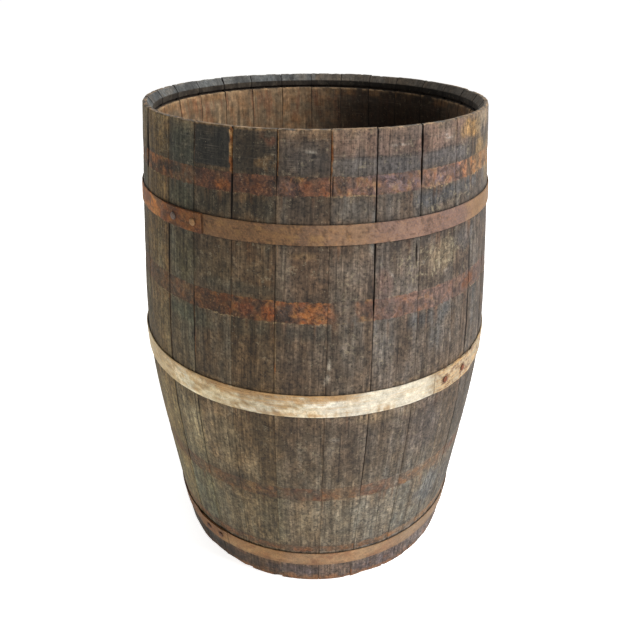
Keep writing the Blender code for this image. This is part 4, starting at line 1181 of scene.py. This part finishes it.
def hoop_look(name, arc, th, v, z, lapped, seed):
    """Paint and masks of a hoop: arc and z in metres, v from 0 (lower edge) to 1 (upper edge)."""
    big = fbm(arc / 0.060, v * 1.2, seed, 101, 3)
    mid = fbm(arc / 0.018, z / 0.012, seed, 102, 4)
    fine = fbm(arc / 0.006, z / 0.005, seed, 103, 3)
    streak = fbm(arc / 0.045, v * 9, seed, 104, 3)
    t = wrap(th)
    one = np.ones_like(arc)
    if name == "quarter_hoop":
        col = blend(rgb(142, 110, 84) + 0 * one[..., None], rgb(130, 104, 90), smooth(-0.3, 0.6, big))
        col = blend(col, rgb(158, 124, 84), smooth(0.0, 0.8, mid) * 0.6)
        col = blend(col, rgb(96, 72, 58), smooth(0.25, 0.9, fine + 0.4 * mid) * 0.5)
        col = blend(col, rgb(132, 104, 96), smooth(14, 30, t) * (1 - smooth(44, 50, t)) * 0.5)
        left = 1 - smooth(-33.5, -32.0, t)
        slow = fbm(arc / 0.034, z / 0.020, seed, 119, 3)
        col = blend(col, blend(rgb(166, 104, 56) + 0 * col, rgb(104, 62, 42), smooth(0.0, 0.5, slow + 0.35 * mid)), left * smooth(-90, -60, t) * 0.9)
        col = blend(col, rgb(164, 118, 64), left * smooth(-90, -60, t) * smooth(0.2, 0.6, -slow + 0.3 * fine) * 0.5)
        col = blend(col, rgb(112, 66, 44), band(t, -50, -33, 3) * 0.35)
        col = blend(col, rgb(150, 118, 84), smooth(46, 56, t) * (1 - smooth(80, 100, t)) * 0.7)
        col = blend(col, rgb(126, 102, 92), band(t, 18, 48, 4) * 0.45)
        col = blend(col, rgb(74, 56, 46), smooth(0.35, 0.7, fbm(arc / 0.007, z / 0.006, seed, 109, 3)) * (1 - smooth(30, 50, t)) * smooth(-90, -60, t) * 0.55)
        col = blend(col, rgb(150, 92, 56), smooth(100, 140, np.abs(t)) * smooth(0.0, 0.5, big) * 0.6)
        col = blend(col, rgb(82, 62, 52), left * smooth(-90, -60, t) * smooth(0.1, 0.6, fbm(arc / 0.022, z / 0.010, seed, 108, 3)) * 0.7)
        rust, chips = 0.60 * one + 0.30 * left * smooth(-170, -110, t), 0.10 * one
    elif name == "bottom_hoop":
        col = blend(rgb(164, 132, 98) + 0 * one[..., None], rgb(148, 112, 80), smooth(-0.4, 0.6, big))
        col = blend(col, rgb(120, 82, 58), smooth(0.1, 0.8, mid) * 0.6)
        col = blend(col, rgb(122, 80, 50), (1 - smooth(-42, -34, t)) * smooth(-170, -110, t) * 0.65)
        col = blend(col, rgb(150, 128, 106), smooth(24, 36, t) * (1 - smooth(80, 95, t)) * 0.45)
        col = blend(col, rgb(178, 152, 124), smooth(5, 40, t) * (1 - smooth(70, 90, t)) * 0.35)
        col = blend(col, rgb(84, 60, 48), smooth(0.75, 1.0, 1 - v + 0.2 * mid) * 0.25)
        col = blend(col, rgb(92, 66, 50), (1 - smooth(-36, -30, t)) * smooth(-90, -60, t) * smooth(0.0, 0.6, mid + 0.3 * fine) * 0.6)
        rust, chips = 0.60 * one, 0.10 * one
    else:
        col = blend(rgb(216, 204, 176) + 0 * one[..., None], rgb(228, 220, 200), smooth(-0.2, 0.6, big))
        col = blend(col, rgb(196, 180, 146), smooth(0.1, 0.8, mid + 0.3 * streak) * 0.55)
        brush = fbm(arc / 0.028, z / 0.0032, seed, 106, 4)
        sweep = fbm(arc / 0.012, z / 0.0020, seed, 107, 3)
        busy = 1 - 0.55 * band(t, 2, 36, 6)
        col = blend(col, rgb(182, 164, 128), smooth(-0.1, 0.6, brush) * 0.75 * busy)
        col = blend(col, rgb(140, 116, 80), smooth(0.25, 0.85, brush + 0.35 * sweep + 0.15 * mid) * 0.75 * busy)
        col = blend(col, rgb(186, 188, 178), spot(t + 41, v, 0, 0.5, 4, 0.45, mid) * 0.55)
        col = blend(col, rgb(150, 118, 76), smooth(0.30, 0.62, fbm(arc / 0.016, z / 0.0045, seed, 110, 4)) * band(t, -60, 6, 6) * 0.6)
        col = blend(col, rgb(238, 234, 222), band(t, 0, 36, 6) * 0.45)
        # ochre streaks along the upper edge and elsewhere
        up = smooth(0.62, 0.98, v + 0.16 * streak + 0.10 * fine)
        col = blend(col, rgb(158, 120, 74), up * smooth(-62, -50, t) * (1 - smooth(6, 16, t)) * (0.35 + 0.5 * smooth(-40, -28, t)))
        col = blend(col, rgb(176, 142, 98), smooth(0.35, 0.85, streak + 0.3 * mid) * band(t, -30, 4, 8) * 0.7)
        col = blend(col, rgb(176, 148, 102), (1 - smooth(-56, -34, t)) * smooth(-170, -110, t) * 0.45)
        far = smooth(34, 42, t) * (1 - smooth(95, 120, t))
        speck = fbm(arc / 0.0045, z / 0.0055, seed, 120, 3)
        col = blend(col, rgb(184, 164, 128), far * 0.75)
        col = blend(col, rgb(112, 80, 56), far * smooth(0.10, 0.40, speck + 0.35 * mid) * 0.80)
        col = blend(col, rgb(214, 200, 168), far * smooth(0.10, 0.45, -speck + 0.4 * fine) * 0.6)
        col = blend(col, rgb(196, 176, 140), smooth(110, 140, np.abs(t)) * 0.4)
        col = blend(col, rgb(150, 104, 64), smooth(0.45, 0.8, mid) * smooth(70, 120, np.abs(t)) * 0.7)
        # drips at the lower edge
        drops = smooth(0.3, 0.7, fbm(arc / 0.006, 0.5, seed, 105, 2)) * (1 - smooth(0.10, 0.45, v + 0.15 * fine))
        col = blend(col, rgb(160, 122, 78), drops * 0.55 * smooth(-20, 0, t) * (1 - smooth(110, 170, t)))
        rust = np.clip(0.10 + 0.5 * far + 0.25 * smooth(90, 130, np.abs(t)), 0, 1) * one
        chips = np.clip(0.50 + 0.4 * band(t, -60, 10, 10) * smooth(0.3, 0.9, v) + 0.5 * far - 0.15 * band(t, 4, 34, 4), 0, 1) * one
    edge = np.minimum(v, 1 - v)
    dirt_and_shade = (1 - smooth(0.0, 0.07, edge)) * (0.12 if name == "bilge_hoop" else 0.22)
    col = col * (1 + 0.06 * mid + 0.05 * fine)[..., None]
    return col, rust, chips, dirt_and_shade


def hoop_shade(name, th):
    t = wrap(th)
    if name == "quarter_hoop":
        shade = 0.80 - 0.26 * band(t, -46, 1, 5) - 0.05 * band(t, -22, -11, 3) + 0.40 * band(t, -75, -52, 3) + 0.06 * band(t, -9, 3, 3) + 0.15 * band(t, 3, 15, 4) - 0.13 * smooth(28, 34, t) - 0.10 * smooth(53, 58, t)
    elif name == "bottom_hoop":
        shade = 0.74 - 0.10 * (1 - smooth(-50, -46, t)) + 0.14 * band(t, 4, 17, 3) - 0.13 * smooth(28, 34, t) - 0.08 * smooth(42, 48, t)
    else:
        shade = 0.86 + 0.17 * band(t, -47, -35, 3) - 0.10 * band(t, -22, -10, 3) + 0.13 * band(t, -9, 3, 3) - 0.07 * smooth(4, 8, t) - 0.05 * smooth(16, 20, t) - 0.12 * smooth(30, 36, t) - 0.03 * band(t, 44, 54, 2) - 0.13 * smooth(54, 60, t)
    cool = 0.13 * (1 - smooth(12, 18, t)) if name == "quarter_hoop" else 0.12 * (1 - smooth(-14, -8, t)) if name == "bottom_hoop" else 0.06 * (1 - smooth(-34, -10, t))
    cool = cool * smooth(-110, -85, t)
    shade = shade + ((0.72 if name == "bilge_hoop" else 0.66) - shade) * smooth(90, 165, np.abs(t))
    return np.stack([shade + 0.25 * cool, shade + 0 * t, shade * (1 - 1.6 * cool)], axis=-1)


def make_hoop(name, low, high, way, inner_end, outer_end, rivets, seed):
    last = outer_end + 360 * way
    over = inner_end + 360 * way
    ramp = over - LAP_RAMP * way
    span = abs(last - inner_end)
    count = int(span / 0.52)
    a = inner_end + way * np.linspace(0, span, count)
    width = high - low
    t = HOOP_THICKNESS
    # section, starting at the lower outer corner and going up the outside: (share of the width, height above the inner face)
    r = 0.00055
    sec = [
        (0.0, r), (0.3 * r / width, t - 0.35 * r), (r / width, t),
        *[(k / 10, t) for k in range(1, 10)],
        (1 - r / width, t), (1 - 0.3 * r / width, t - 0.35 * r), (1.0, r),
        (1 - 0.5 * r / width, 0.0), (0.66, 0.0), (0.33, 0.0), (0.5 * r / width, 0.0),
    ]  # fmt: skip
    v = np.array([s[0] for s in sec])[:, None] + 0 * a[None, :]
    lift = np.array([s[1] for s in sec])[:, None] + 0 * a[None, :]
    outer = (lift > 0.6 * t).astype(float)
    ang = a[None, :] + 0 * v
    arc = np.radians(ang) * 0.345
    # the strip climbs onto its own start
    up = LAP_LIFT * smooth(0, 1, (ang - ramp) * way / abs(over - ramp))
    end_out = 1 - smooth(0.0, 2.2, np.abs(ang - last))
    if name != "quarter_hoop":
        lift = lift * (1 - 0.72 * (1 - smooth(0.0, 3.2, np.abs(ang - last))))
    wave = 0.35 * mm * fbm(arc / 0.09, 0.3, seed, 111, 3) + 0.12 * mm * fbm(arc / 0.012, 0.7, seed, 112, 2)
    z = low + v * width + wave * np.where(v > 0.5, 1, -0.8) * np.abs(2 * v - 1)
    dents = 0.10 * mm * fbm(arc / 0.010, z / 0.010, seed, 113, 3) + 0.22 * mm * fbm(arc / 0.045, z / 0.03, seed, 114, 2)
    pits = 0.22 * mm * smooth(0.35, 0.8, fbm(arc / 0.004, z / 0.004, seed, 115, 2))
    tuck = 0.0003 + 0.10 * mm * (1 + fbm(arc / 0.10, 0.1, seed, 116, 2))
    stand = np.zeros_like(arc)
    if name == "bilge_hoop":
        stand = 1.6 * mm * np.exp(-((wrap(ang + 79) / 7.0) ** 2)) * (0.35 + 0.65 * v)
    if name == "bottom_hoop":
        stand = 0.5 * mm * np.exp(-((wrap(ang + 30) / 5.0) ** 2))
    beat = np.zeros_like(arc)
    for rivet in rivets:
        d = np.hypot(np.radians(wrap(ang - rivet)) * 0.345, z - (low + high) / 2)
        beat = beat - 0.45 * mm * np.exp(-((d - 0.0095) / 0.004) ** 2) * (((ang - ramp) * way) > -8)
    radius = outside(z) + tuck + lift + up + stand + (dents + beat) * (0.35 + 0.65 * outer) - pits * outer * (lift >= t - 1e-6)
    radius = radius + (0.5 if name == "quarter_hoop" else 0.1) * mm * end_out * v
    skew = end_out * 0.12 * fbm(v * 4, seed, 0, 117, 2)
    angle = np.radians(ang + skew)
    points = np.stack([radius * np.sin(angle), -radius * np.cos(angle), z], axis=-1).reshape(-1, 3)
    rows, columns = v.shape
    quads = grid_faces(rows, columns)
    if way > 0:
        quads = quads[:, ::-1]
    # ends: a fan of quads across the section
    half = rows // 2
    caps = []
    for j, flip in ((0, False), (columns - 1, True)):
        ring = np.arange(rows) * columns + j
        fan = []
        lo, hi = 0, rows - 1
        while hi - lo > 2:
            fan.append((ring[lo], ring[lo + 1], ring[hi - 1], ring[hi]))
            lo, hi = lo + 1, hi - 1
        if hi - lo == 2:
            fan.append((ring[lo], ring[lo + 1], ring[hi], ring[hi]))
        fan = np.array(fan)
        tri = np.array([f[:3] for f in fan if f[2] == f[3]])
        quad = np.array([f for f in fan if f[2] != f[3]])
        turn = flip != (way < 0)
        caps.append(quad[:, ::-1] if turn else quad)
        if len(tri):
            caps.append(tri[:, ::-1] if turn else tri)
    col, rust, chips, dirt_and_shade = hoop_look(name, arc, ang, v, z, up > 0.5 * LAP_LIFT, seed)
    # the hoop's inner face, against the wood, is painted dark: painted shade under the hoop
    dirt_and_shade = np.maximum(dirt_and_shade, np.array([s[1] < 0.1 * t for s in sec])[:, None] * 0.9)
    # painted shade and grime at the lap's step
    under_edge = np.exp(-((wrap(ang - outer_end) * way - 0.25) / 0.35) ** 2) * (((last - ang) * way) > 100)
    dirt_and_shade = np.maximum(dirt_and_shade, under_edge * (0.15 if name == "bilge_hoop" else 0.55))
    for rivet in rivets:
        d = np.hypot(np.radians(wrap(ang - rivet)) * 0.345, z - (low + high) / 2)
        m = (1 - smooth(0.0062, 0.0105, d + 0.001 * fbm(arc / 0.004, z / 0.004, seed, 118, 2))) * 0.8
        col = blend(col, rgb(84, 50, 34), m * (1.0 if name == "bilge_hoop" else 0.7))
        rust = np.maximum(rust, m)
    attributes = {
        "c_paint": (to_linear(np.clip(col, 0.02, 0.98)) * hoop_shade(name, ang)).reshape(-1, 3),
        "mask": np.stack([rust + 0 * arc, chips + 0 * arc, dirt_and_shade], axis=-1).reshape(-1, 3),
        "grain": np.stack([arc, z, lift], axis=-1).reshape(-1, 3),
    }
    return build_mesh(f"{name}_mesh", points, [quads, *caps], attributes, 60)


HOOP_IRON = {
    "quarter_hoop": (iron_material("rusty_hoop_iron", (70, 44, 34), (166, 114, 70), 0.50, 0.72, 0.92, 0.10), "rusty_hoop"),
    "bilge_hoop": (iron_material("cream_painted_iron", (118, 74, 44), (188, 150, 100), 0.80, 0.50, 0.78, 0.0), "cream_hoop"),
    "bottom_hoop": (iron_material("orange_rust_iron", (80, 50, 36), (178, 130, 80), 0.60, 0.74, 0.92, 0.08), "orange_rust_hoop"),
}
RIVET_IRON = iron_material("rivet_iron", (58, 38, 30), (160, 108, 70), 0.75, 0.55, 0.85, 0.25)
RIVET_TONES = {
    "quarter_hoop_rivet_1": rgb(100, 88, 80), "quarter_hoop_rivet_2": rgb(132, 100, 66), "bilge_hoop_rivet_1": rgb(112, 66, 44),
    "bilge_hoop_rivet_2": rgb(104, 58, 38), "bottom_hoop_rivet_1": rgb(82, 58, 46), "bottom_hoop_rivet_2": rgb(90, 64, 48),
}  # fmt: skip


def make_rivet(name, low, high, angle, seed):
    z = (low + high) / 2
    slope = float((outside(high) - outside(low)) / (high - low))
    a = radians(angle)
    out = Vector((sin(a), -cos(a), -slope)).normalized()
    base = float(outside(z)) + 0.0004 + LAP_LIFT + HOOP_THICKNESS
    seat = Vector((base * sin(a), -base * cos(a), z))
    place = np.array(Matrix.Translation(seat) @ out.to_track_quat("Z", "Y").to_matrix().to_4x4())
    head, tall, shank, foot = 0.0068, 0.0030, 0.0032, -0.0042
    sides = 36
    rings = [(head * sin(t), tall * cos(t) ** 0.8 - 0.0002) for t in np.linspace(0.12, pi / 2, 11)]
    rings += [(head * 0.97, -0.0004), (shank, -0.0004), (shank, foot * 0.5), (shank, foot)]
    k = np.arange(sides)
    phi = 2 * pi * k / sides
    pts = [np.array([[0, 0, tall - 0.0003]])]
    for r, h in rings:
        dome = h > -0.0003
        lump = 1 + (0.07 * fbm(np.cos(phi) * 1.3 + 7 * seed, np.sin(phi) * 1.3, r * 200, 121, 2) if r > shank + 1e-6 else 0 * phi)
        dent = 0.30 * mm * fbm(np.cos(phi) * r / 0.0030, np.sin(phi) * r / 0.0030, seed, 122, 3) * (1.0 if dome else 0.0)
        facet = -0.35 * mm * smooth(0.3, 1.0, np.cos(phi - seed)) * (r / head) * (1.0 if dome else 0.0)
        pts.append(np.stack([r * lump * np.cos(phi), r * lump * np.sin(phi), h + dent + facet], axis=1))
    pts.append(np.array([[0, 0, foot]]))
    local = np.concatenate(pts)
    n_rings = len(rings)
    tris = np.array([(0, 1 + i, 1 + (i + 1) % sides) for i in range(sides)])
    end = len(local) - 1
    start = 1 + (n_rings - 1) * sides
    tris = np.concatenate([tris, np.array([(end, start + (i + 1) % sides, start + i) for i in range(sides)])])
    quads = np.array([(1 + r * sides + i, 1 + (r + 1) * sides + i, 1 + (r + 1) * sides + (i + 1) % sides, 1 + r * sides + (i + 1) % sides) for r in range(n_rings - 1) for i in range(sides)])
    world = local @ place[:3, :3].T + place[:3, 3]
    rim = smooth(0.0050, 0.0068, np.hypot(local[:, 0], local[:, 1]))
    col = RIVET_TONES[name] * (1 + 0.10 * fbm(local[:, 0] / 0.002, local[:, 1] / 0.002, seed, 123, 3))[:, None]
    # the head's rim and the shank are darkened: painted shade where the head meets the hoop
    attributes = {
        "c_paint": to_linear(np.clip(col, 0.02, 0.98)),
        "mask": np.stack([0.7 + 0 * rim, 0 * rim, np.maximum(0.7 * rim, local[:, 2] < -0.0003)], axis=-1),
        "grain": local * 1.0,
    }
    return build_mesh(f"{name}_mesh", world, [quads, tris], attributes, 60)


for seed, (name, low, high, way, inner_end, outer_end, rivets) in enumerate(HOOPS, 1):
    material, slot = HOOP_IRON[name]
    mesh = make_hoop(name, low, high, way, inner_end, outer_end, rivets, seed)
    add_piece(f"{name}_strip", mesh, material, "barrel", name)
    for count, angle in enumerate(rivets, 1):
        node = f"{name}_rivet_{count}"
        add_piece(f"{node}_hammered", make_rivet(node, low, high, angle, seed * 3 + count), RIVET_IRON, "barrel", node)

# Head boards


def head_surface(r, top):
    """Height of the head's upper or lower face at radius r."""
    tongue = 0.0020
    inner = 0.2950
    if top:
        return np.interp(r, [0, HEAD_RADIUS_AT_CROZE - 0.034, inner - 0.0012, inner], [HEAD_TOP, HEAD_TOP, CROZE_MIDDLE + tongue + 0.0004, CROZE_MIDDLE + tongue])
    return np.interp(r, [0, HEAD_RADIUS_AT_CROZE - 0.016, inner, HEAD_RADIUS_AT_CROZE], [HEAD_BOTTOM, HEAD_BOTTOM, CROZE_MIDDLE - tongue, CROZE_MIDDLE - tongue])


def make_board(number, near, far):
    R = HEAD_RADIUS_AT_CROZE - 0.0002
    near, far = max(near, -R * 0.9996), min(far, R * 0.9996)
    edge = np.array([0.0, 0.0005, 0.0014, 0.0030])
    width = far - near
    y = np.concatenate([near + edge, np.linspace(near + 0.0065, far - 0.0065, max(6, int(width / 0.0052))), far - edge[::-1]])
    if near < -0.25:
        y = np.concatenate([near + 0.0008 * np.arange(0, 5) ** 1.8, y[y > near + 0.011]])
    if far > 0.25:
        y = np.concatenate([y[y < far - 0.011], far - 0.0008 * np.arange(4, -1, -1) ** 1.8])
    u = np.sin(np.linspace(-1, 1, 121) * pi / 2 * 0.94) / sin(pi / 2 * 0.94)
    uu, yy = np.meshgrid(u, y)
    reach = np.sqrt(np.clip(R * R - yy * yy, 1e-9, None))
    xx = uu * reach
    rr = np.hypot(xx, yy)
    bow = 0.30 * mm * fbm(xx / 0.20, yy / 0.03, number, 131, 2) + 0.16 * mm * fbm(xx / 0.08, yy / 0.0055, number, 132, 3)
    e = np.minimum(yy - near, far - yy)
    worn = 0.0014 * (1 + 0.4 * noise(xx / 0.03, number, 0, 133))
    t = np.clip(1 - e / worn, 0, 1)
    arris = worn * (1 - np.sqrt(np.clip(1 - t * t, 0, 1)))
    inner = 1 - smooth(0.284, 0.2945, rr)
    cup = -0.0008 * (2 * (yy - near) / width - 1) ** 2
    thin = np.clip((rr - 0.2945) / 0.003, 0, 1)
    top = head_surface(rr, True) + (bow - arris + cup - 0.0003) * inner
    low = head_surface(rr, False) - (0.6 * bow - arris - cup - 0.0003) * inner
    lip = 0.0003 * (1 - smooth(0.0, 0.0006, e)) * (1 - inner)
    top, low = top - lip, low + lip
    rows, columns = xx.shape
    top_points = np.stack([xx, yy, top], axis=-1).reshape(-1, 3)
    low_points = np.stack([xx, yy, low], axis=-1).reshape(-1, 3)
    n = rows * columns
    quads = grid_faces(rows, columns, False)
    faces = [quads[:, ::-1], quads + n]
    ring = np.concatenate([
        np.arange(columns), np.arange(1, rows) * columns + columns - 1, (rows - 1) * columns + np.arange(columns - 2, -1, -1), np.arange(rows - 2, 0, -1) * columns,
    ])  # fmt: skip
    nxt = np.roll(ring, -1)
    faces.append(np.stack([ring, ring + n, nxt + n, nxt], axis=1))
    points = np.concatenate([top_points, low_points])
    # paint
    g = fbm(xx / 0.14, yy / 0.006, number, 134, 4)
    w = fbm(xx / 0.06, yy / 0.03, number, 135, 4)
    s = fbm(xx / 0.018, yy / 0.018, number, 136, 3)
    tone = float(noise(number * 1.37, 0.2, 0, 137))
    upper = blend(rgb(88, 62, 52) + 0 * xx[..., None], rgb(66, 42, 40), smooth(-0.4, 0.5, w + 0.4 * tone))
    upper = blend(upper, rgb(112, 86, 66), smooth(0.2, 0.8, g) * 0.5)
    upper = blend(upper, rgb(50, 32, 32), smooth(0.2, 0.8, -s + 0.4 * w) * 0.6)
    upper = blend(upper, rgb(74, 54, 44), smooth(0.24, 0.29, rr) * 0.5)
    under = blend(rgb(112, 96, 78) + 0 * xx[..., None], rgb(86, 80, 72), smooth(-0.4, 0.5, w + 0.4 * tone))
    under = blend(under, rgb(70, 58, 48), smooth(0.2, 0.8, -s) * 0.5)
    both = [c * (1 + 0.14 * g + 0.08 * s)[..., None] for c in (upper, under)]
    dirt_and_shade = (1 - smooth(0.0004, 0.0020, e)) * 0.95
    paint = np.concatenate([to_linear(np.clip(c, 0.02, 0.98)).reshape(-1, 3) for c in both])
    mask = np.stack([0 * xx, 0.15 + 0 * xx, dirt_and_shade], axis=-1).reshape(-1, 3)
    grain = np.stack([yy + 0.7 * number, xx, 0 * xx], axis=-1).reshape(-1, 3)
    more = np.stack([0.25 + 0 * xx, 0 * xx, 0 * xx], axis=-1).reshape(-1, 3)
    attributes = {"c_paint": paint, "mask": np.tile(mask, (2, 1)), "grain": np.tile(grain, (2, 1)), "more": np.tile(more, (2, 1))}
    return build_mesh(f"head_board_{number}_mesh", points, faces, attributes, 40)


sides = (-1.0, *HEAD_JOINTS, 1.0)
for number, (near, far) in enumerate(zip(sides, sides[1:]), 1):
    mesh = make_board(number, near + 0.0002, far - 0.0002)
    node = f"head_board_{number}"
    add_piece(f"{node}_oak", mesh, HEAD_OAK, "barrel", node)

# Bung


def make_bung():
    face = BUNG_PROUD
    top_r = bung_radius(-BUNG_PROUD)
    rings = [(r * (top_r - 0.0022), face) for r in np.linspace(0.08, 1, 12)]
    rings += [(top_r - 0.0012, face - 0.0002), (top_r - 0.0004, face - 0.0008), (top_r, face - 0.0018)]
    rings += [(bung_radius(d), -d) for d in np.linspace(0.0, BUNG_LENGTH - 0.0018, 12)]
    rings += [(bung_radius(BUNG_LENGTH) - 0.0006, -BUNG_LENGTH + 0.0006), (bung_radius(BUNG_LENGTH) - 0.0018, -BUNG_LENGTH)]
    rings += [(r * (bung_radius(BUNG_LENGTH) - 0.0018), -BUNG_LENGTH) for r in (0.75, 0.5, 0.25)]
    sides = 72
    phi = 2 * pi * np.arange(sides) / sides
    pts = [np.array([[0, 0, face - 0.0001]])]
    for r, h in rings:
        x, y = r * np.cos(phi), r * np.sin(phi)
        if h > face - 0.0005:
            dz = 0.22 * mm * fbm(x / 0.03, y / 0.0030, 3, 141, 3) - 0.5 * mm * smooth(0.3, 0.8, noise(x / 0.008, y / 0.008, 1, 142)) - 0.2 * mm
            pts.append(np.stack([x, y, h + dz], axis=1))
        else:
            k = 1 - 0.004 * (1 + fbm(np.cos(phi) * 3, np.sin(phi) * 3, h / 0.01, 143, 2))
            pts.append(np.stack([x * k, y * k, h + 0 * x], axis=1))
    pts.append(np.array([[0, 0, -BUNG_LENGTH]]))
    local = np.concatenate(pts)
    n_rings, end = len(rings), len(local) - 1
    tris = [(0, 1 + i, 1 + (i + 1) % sides) for i in range(sides)]
    start = 1 + (n_rings - 1) * sides
    tris += [(end, start + (i + 1) % sides, start + i) for i in range(sides)]
    quads = [(1 + r * sides + i, 1 + (r + 1) * sides + i, 1 + (r + 1) * sides + (i + 1) % sides, 1 + r * sides + (i + 1) % sides) for r in range(n_rings - 1) for i in range(sides)]
    place = np.array(bung_frame)
    world = local @ place[:3, :3].T + place[:3, 3]
    x, y, h = local[:, 0], local[:, 1], local[:, 2]
    g = fbm(x / 0.030, y / 0.0025, h / 0.05, 144, 3)
    s = fbm(x / 0.008, y / 0.008, h / 0.008, 145, 3)
    col = blend(rgb(128, 92, 66) + 0 * x[:, None], rgb(88, 54, 46), smooth(-0.4, 0.5, s))
    col = blend(col, rgb(78, 40, 46), (1 - smooth(-0.012, 0.0, h)) * 0.75)
    col = col * (1 + 0.16 * g)[:, None]
    # painted shade with dirt in the ring where the bung meets the hole
    dirt_and_shade = smooth(top_r - 0.003, top_r, np.hypot(x, y)) * (h > -0.001) * 0.7
    attributes = {
        "c_paint": to_linear(np.clip(col, 0.02, 0.98)),
        "mask": np.stack([0 * x, 0.1 + 0 * x, dirt_and_shade], axis=-1),
        "grain": np.stack([y + 30.0, x, h], axis=-1),
        "more": np.stack([0 * x, 0 * x, 0 * x], axis=-1),
    }
    return build_mesh("bung_mesh", world, [np.array(quads), np.array(tris)], attributes, 45)


add_piece("bung_plug", make_bung(), BUNG_OAK, "bung", "bung")

# Stage, lights, camera


def floor():
    mesh = bpy.data.meshes.new("floor")
    steps = np.linspace(-90, 90, 15)
    xx, yy = np.meshgrid(steps, steps)
    pts = np.stack([xx, yy, 0 * xx - 0.0003], axis=-1).reshape(-1, 3)
    quads = grid_faces(15, 15, False)
    mesh.from_pydata(pts.tolist(), [], quads[:, ::-1].tolist())
    obj = bpy.data.objects.new("studio_floor", mesh)
    bpy.context.scene.collection.objects.link(obj)
    made = bpy.data.materials.new("studio_floor")
    made.use_nodes = True
    shader = made.node_tree.nodes["Principled BSDF"]
    shader.inputs["Base Color"].default_value = (0.90, 0.895, 0.885, 1)
    shader.inputs["Roughness"].default_value = 0.9
    shader.inputs["Specular IOR Level"].default_value = 0.1
    shader.inputs["Emission Color"].default_value = (1.0, 0.995, 0.985, 1)
    shader.inputs["Emission Strength"].default_value = 0.72
    mesh.materials.append(made)


def area(name, azimuth, elevation, distance, size, power, colour=(1, 1, 1), aim=(0, 0, 0.5)):
    """Azimuth is measured as the barrel's angles are: 0 in front, 90 at the right."""
    a, e = radians(azimuth), radians(elevation)
    light = bpy.data.lights.new(name, "AREA")
    light.shape = "SQUARE"
    light.size = size
    light.energy = power
    light.color = colour
    obj = bpy.data.objects.new(name, light)
    bpy.context.scene.collection.objects.link(obj)
    target = Vector(aim)
    obj.location = target + Vector((sin(a) * cos(e), -cos(a) * cos(e), sin(e))) * distance
    obj.rotation_euler = (target - obj.location).to_track_quat("-Z", "Y").to_euler()
    return obj


floor()
area("key_right", 68, 44, 3.2, 1.6, 112, (0.99, 0.99, 1.0))
area("fill_front", 22, 5, 4.2, 2.4, 30, (1.0, 0.99, 0.98))
area("fill_left", -80, 5, 3.6, 2.2, 7, (1.0, 0.97, 0.93))
area("back_left", -150, 12, 3.8, 2.4, 40, (0.98, 0.99, 1.0))
area("back_right", 150, 12, 3.8, 2.4, 40, (1.0, 0.99, 0.98))

world = bpy.data.worlds.new("studio")
bpy.context.scene.world = world
world.use_nodes = True
world.node_tree.nodes["Background"].inputs["Color"].default_value = (1.0, 1.0, 1.0, 1)
world.node_tree.nodes["Background"].inputs["Strength"].default_value = 0.34
seen = world.node_tree.nodes.new("ShaderNodeBackground")
seen.inputs["Color"].default_value = (1.0, 1.0, 1.0, 1)
seen.inputs["Strength"].default_value = 1.0
path = world.node_tree.nodes.new("ShaderNodeLightPath")
either = world.node_tree.nodes.new("ShaderNodeMixShader")
world.node_tree.links.new(path.outputs["Is Camera Ray"], either.inputs[0])
world.node_tree.links.new(world.node_tree.nodes["Background"].outputs[0], either.inputs[1])
world.node_tree.links.new(seen.outputs[0], either.inputs[2])
world.node_tree.links.new(either.outputs[0], world.node_tree.nodes["World Output"].inputs["Surface"])

bpy.context.scene.view_settings.view_transform = "Standard"
bpy.context.scene.view_settings.look = "None"

YAW, PITCH, ROLL = 0.008557, 0.496867, -0.006733
right = Vector((cos(YAW), -sin(YAW), 0))
up = Vector((sin(PITCH) * sin(YAW), sin(PITCH) * cos(YAW), cos(PITCH)))
forward = Vector((cos(PITCH) * sin(YAW), cos(PITCH) * cos(YAW), -sin(PITCH)))
cam_right = right * cos(ROLL) - up * sin(ROLL)
cam_up = right * sin(ROLL) + up * cos(ROLL)
camera = bpy.data.cameras.new("camera")
camera.lens = 35.07
camera.sensor_width = 36.0
camera.sensor_fit = "HORIZONTAL"
camera.clip_start, camera.clip_end = 0.05, 300
eye = bpy.data.objects.new("camera", camera)
bpy.context.scene.collection.objects.link(eye)
eye.matrix_world = Matrix(
    (
        (cam_right.x, cam_up.x, -forward.x, 0.0),
        (cam_right.y, cam_up.y, -forward.y, -1.2336),
        (cam_right.z, cam_up.z, -forward.z, 1.1361),
        (0, 0, 0, 1),
    )
)
bpy.context.scene.camera = eye
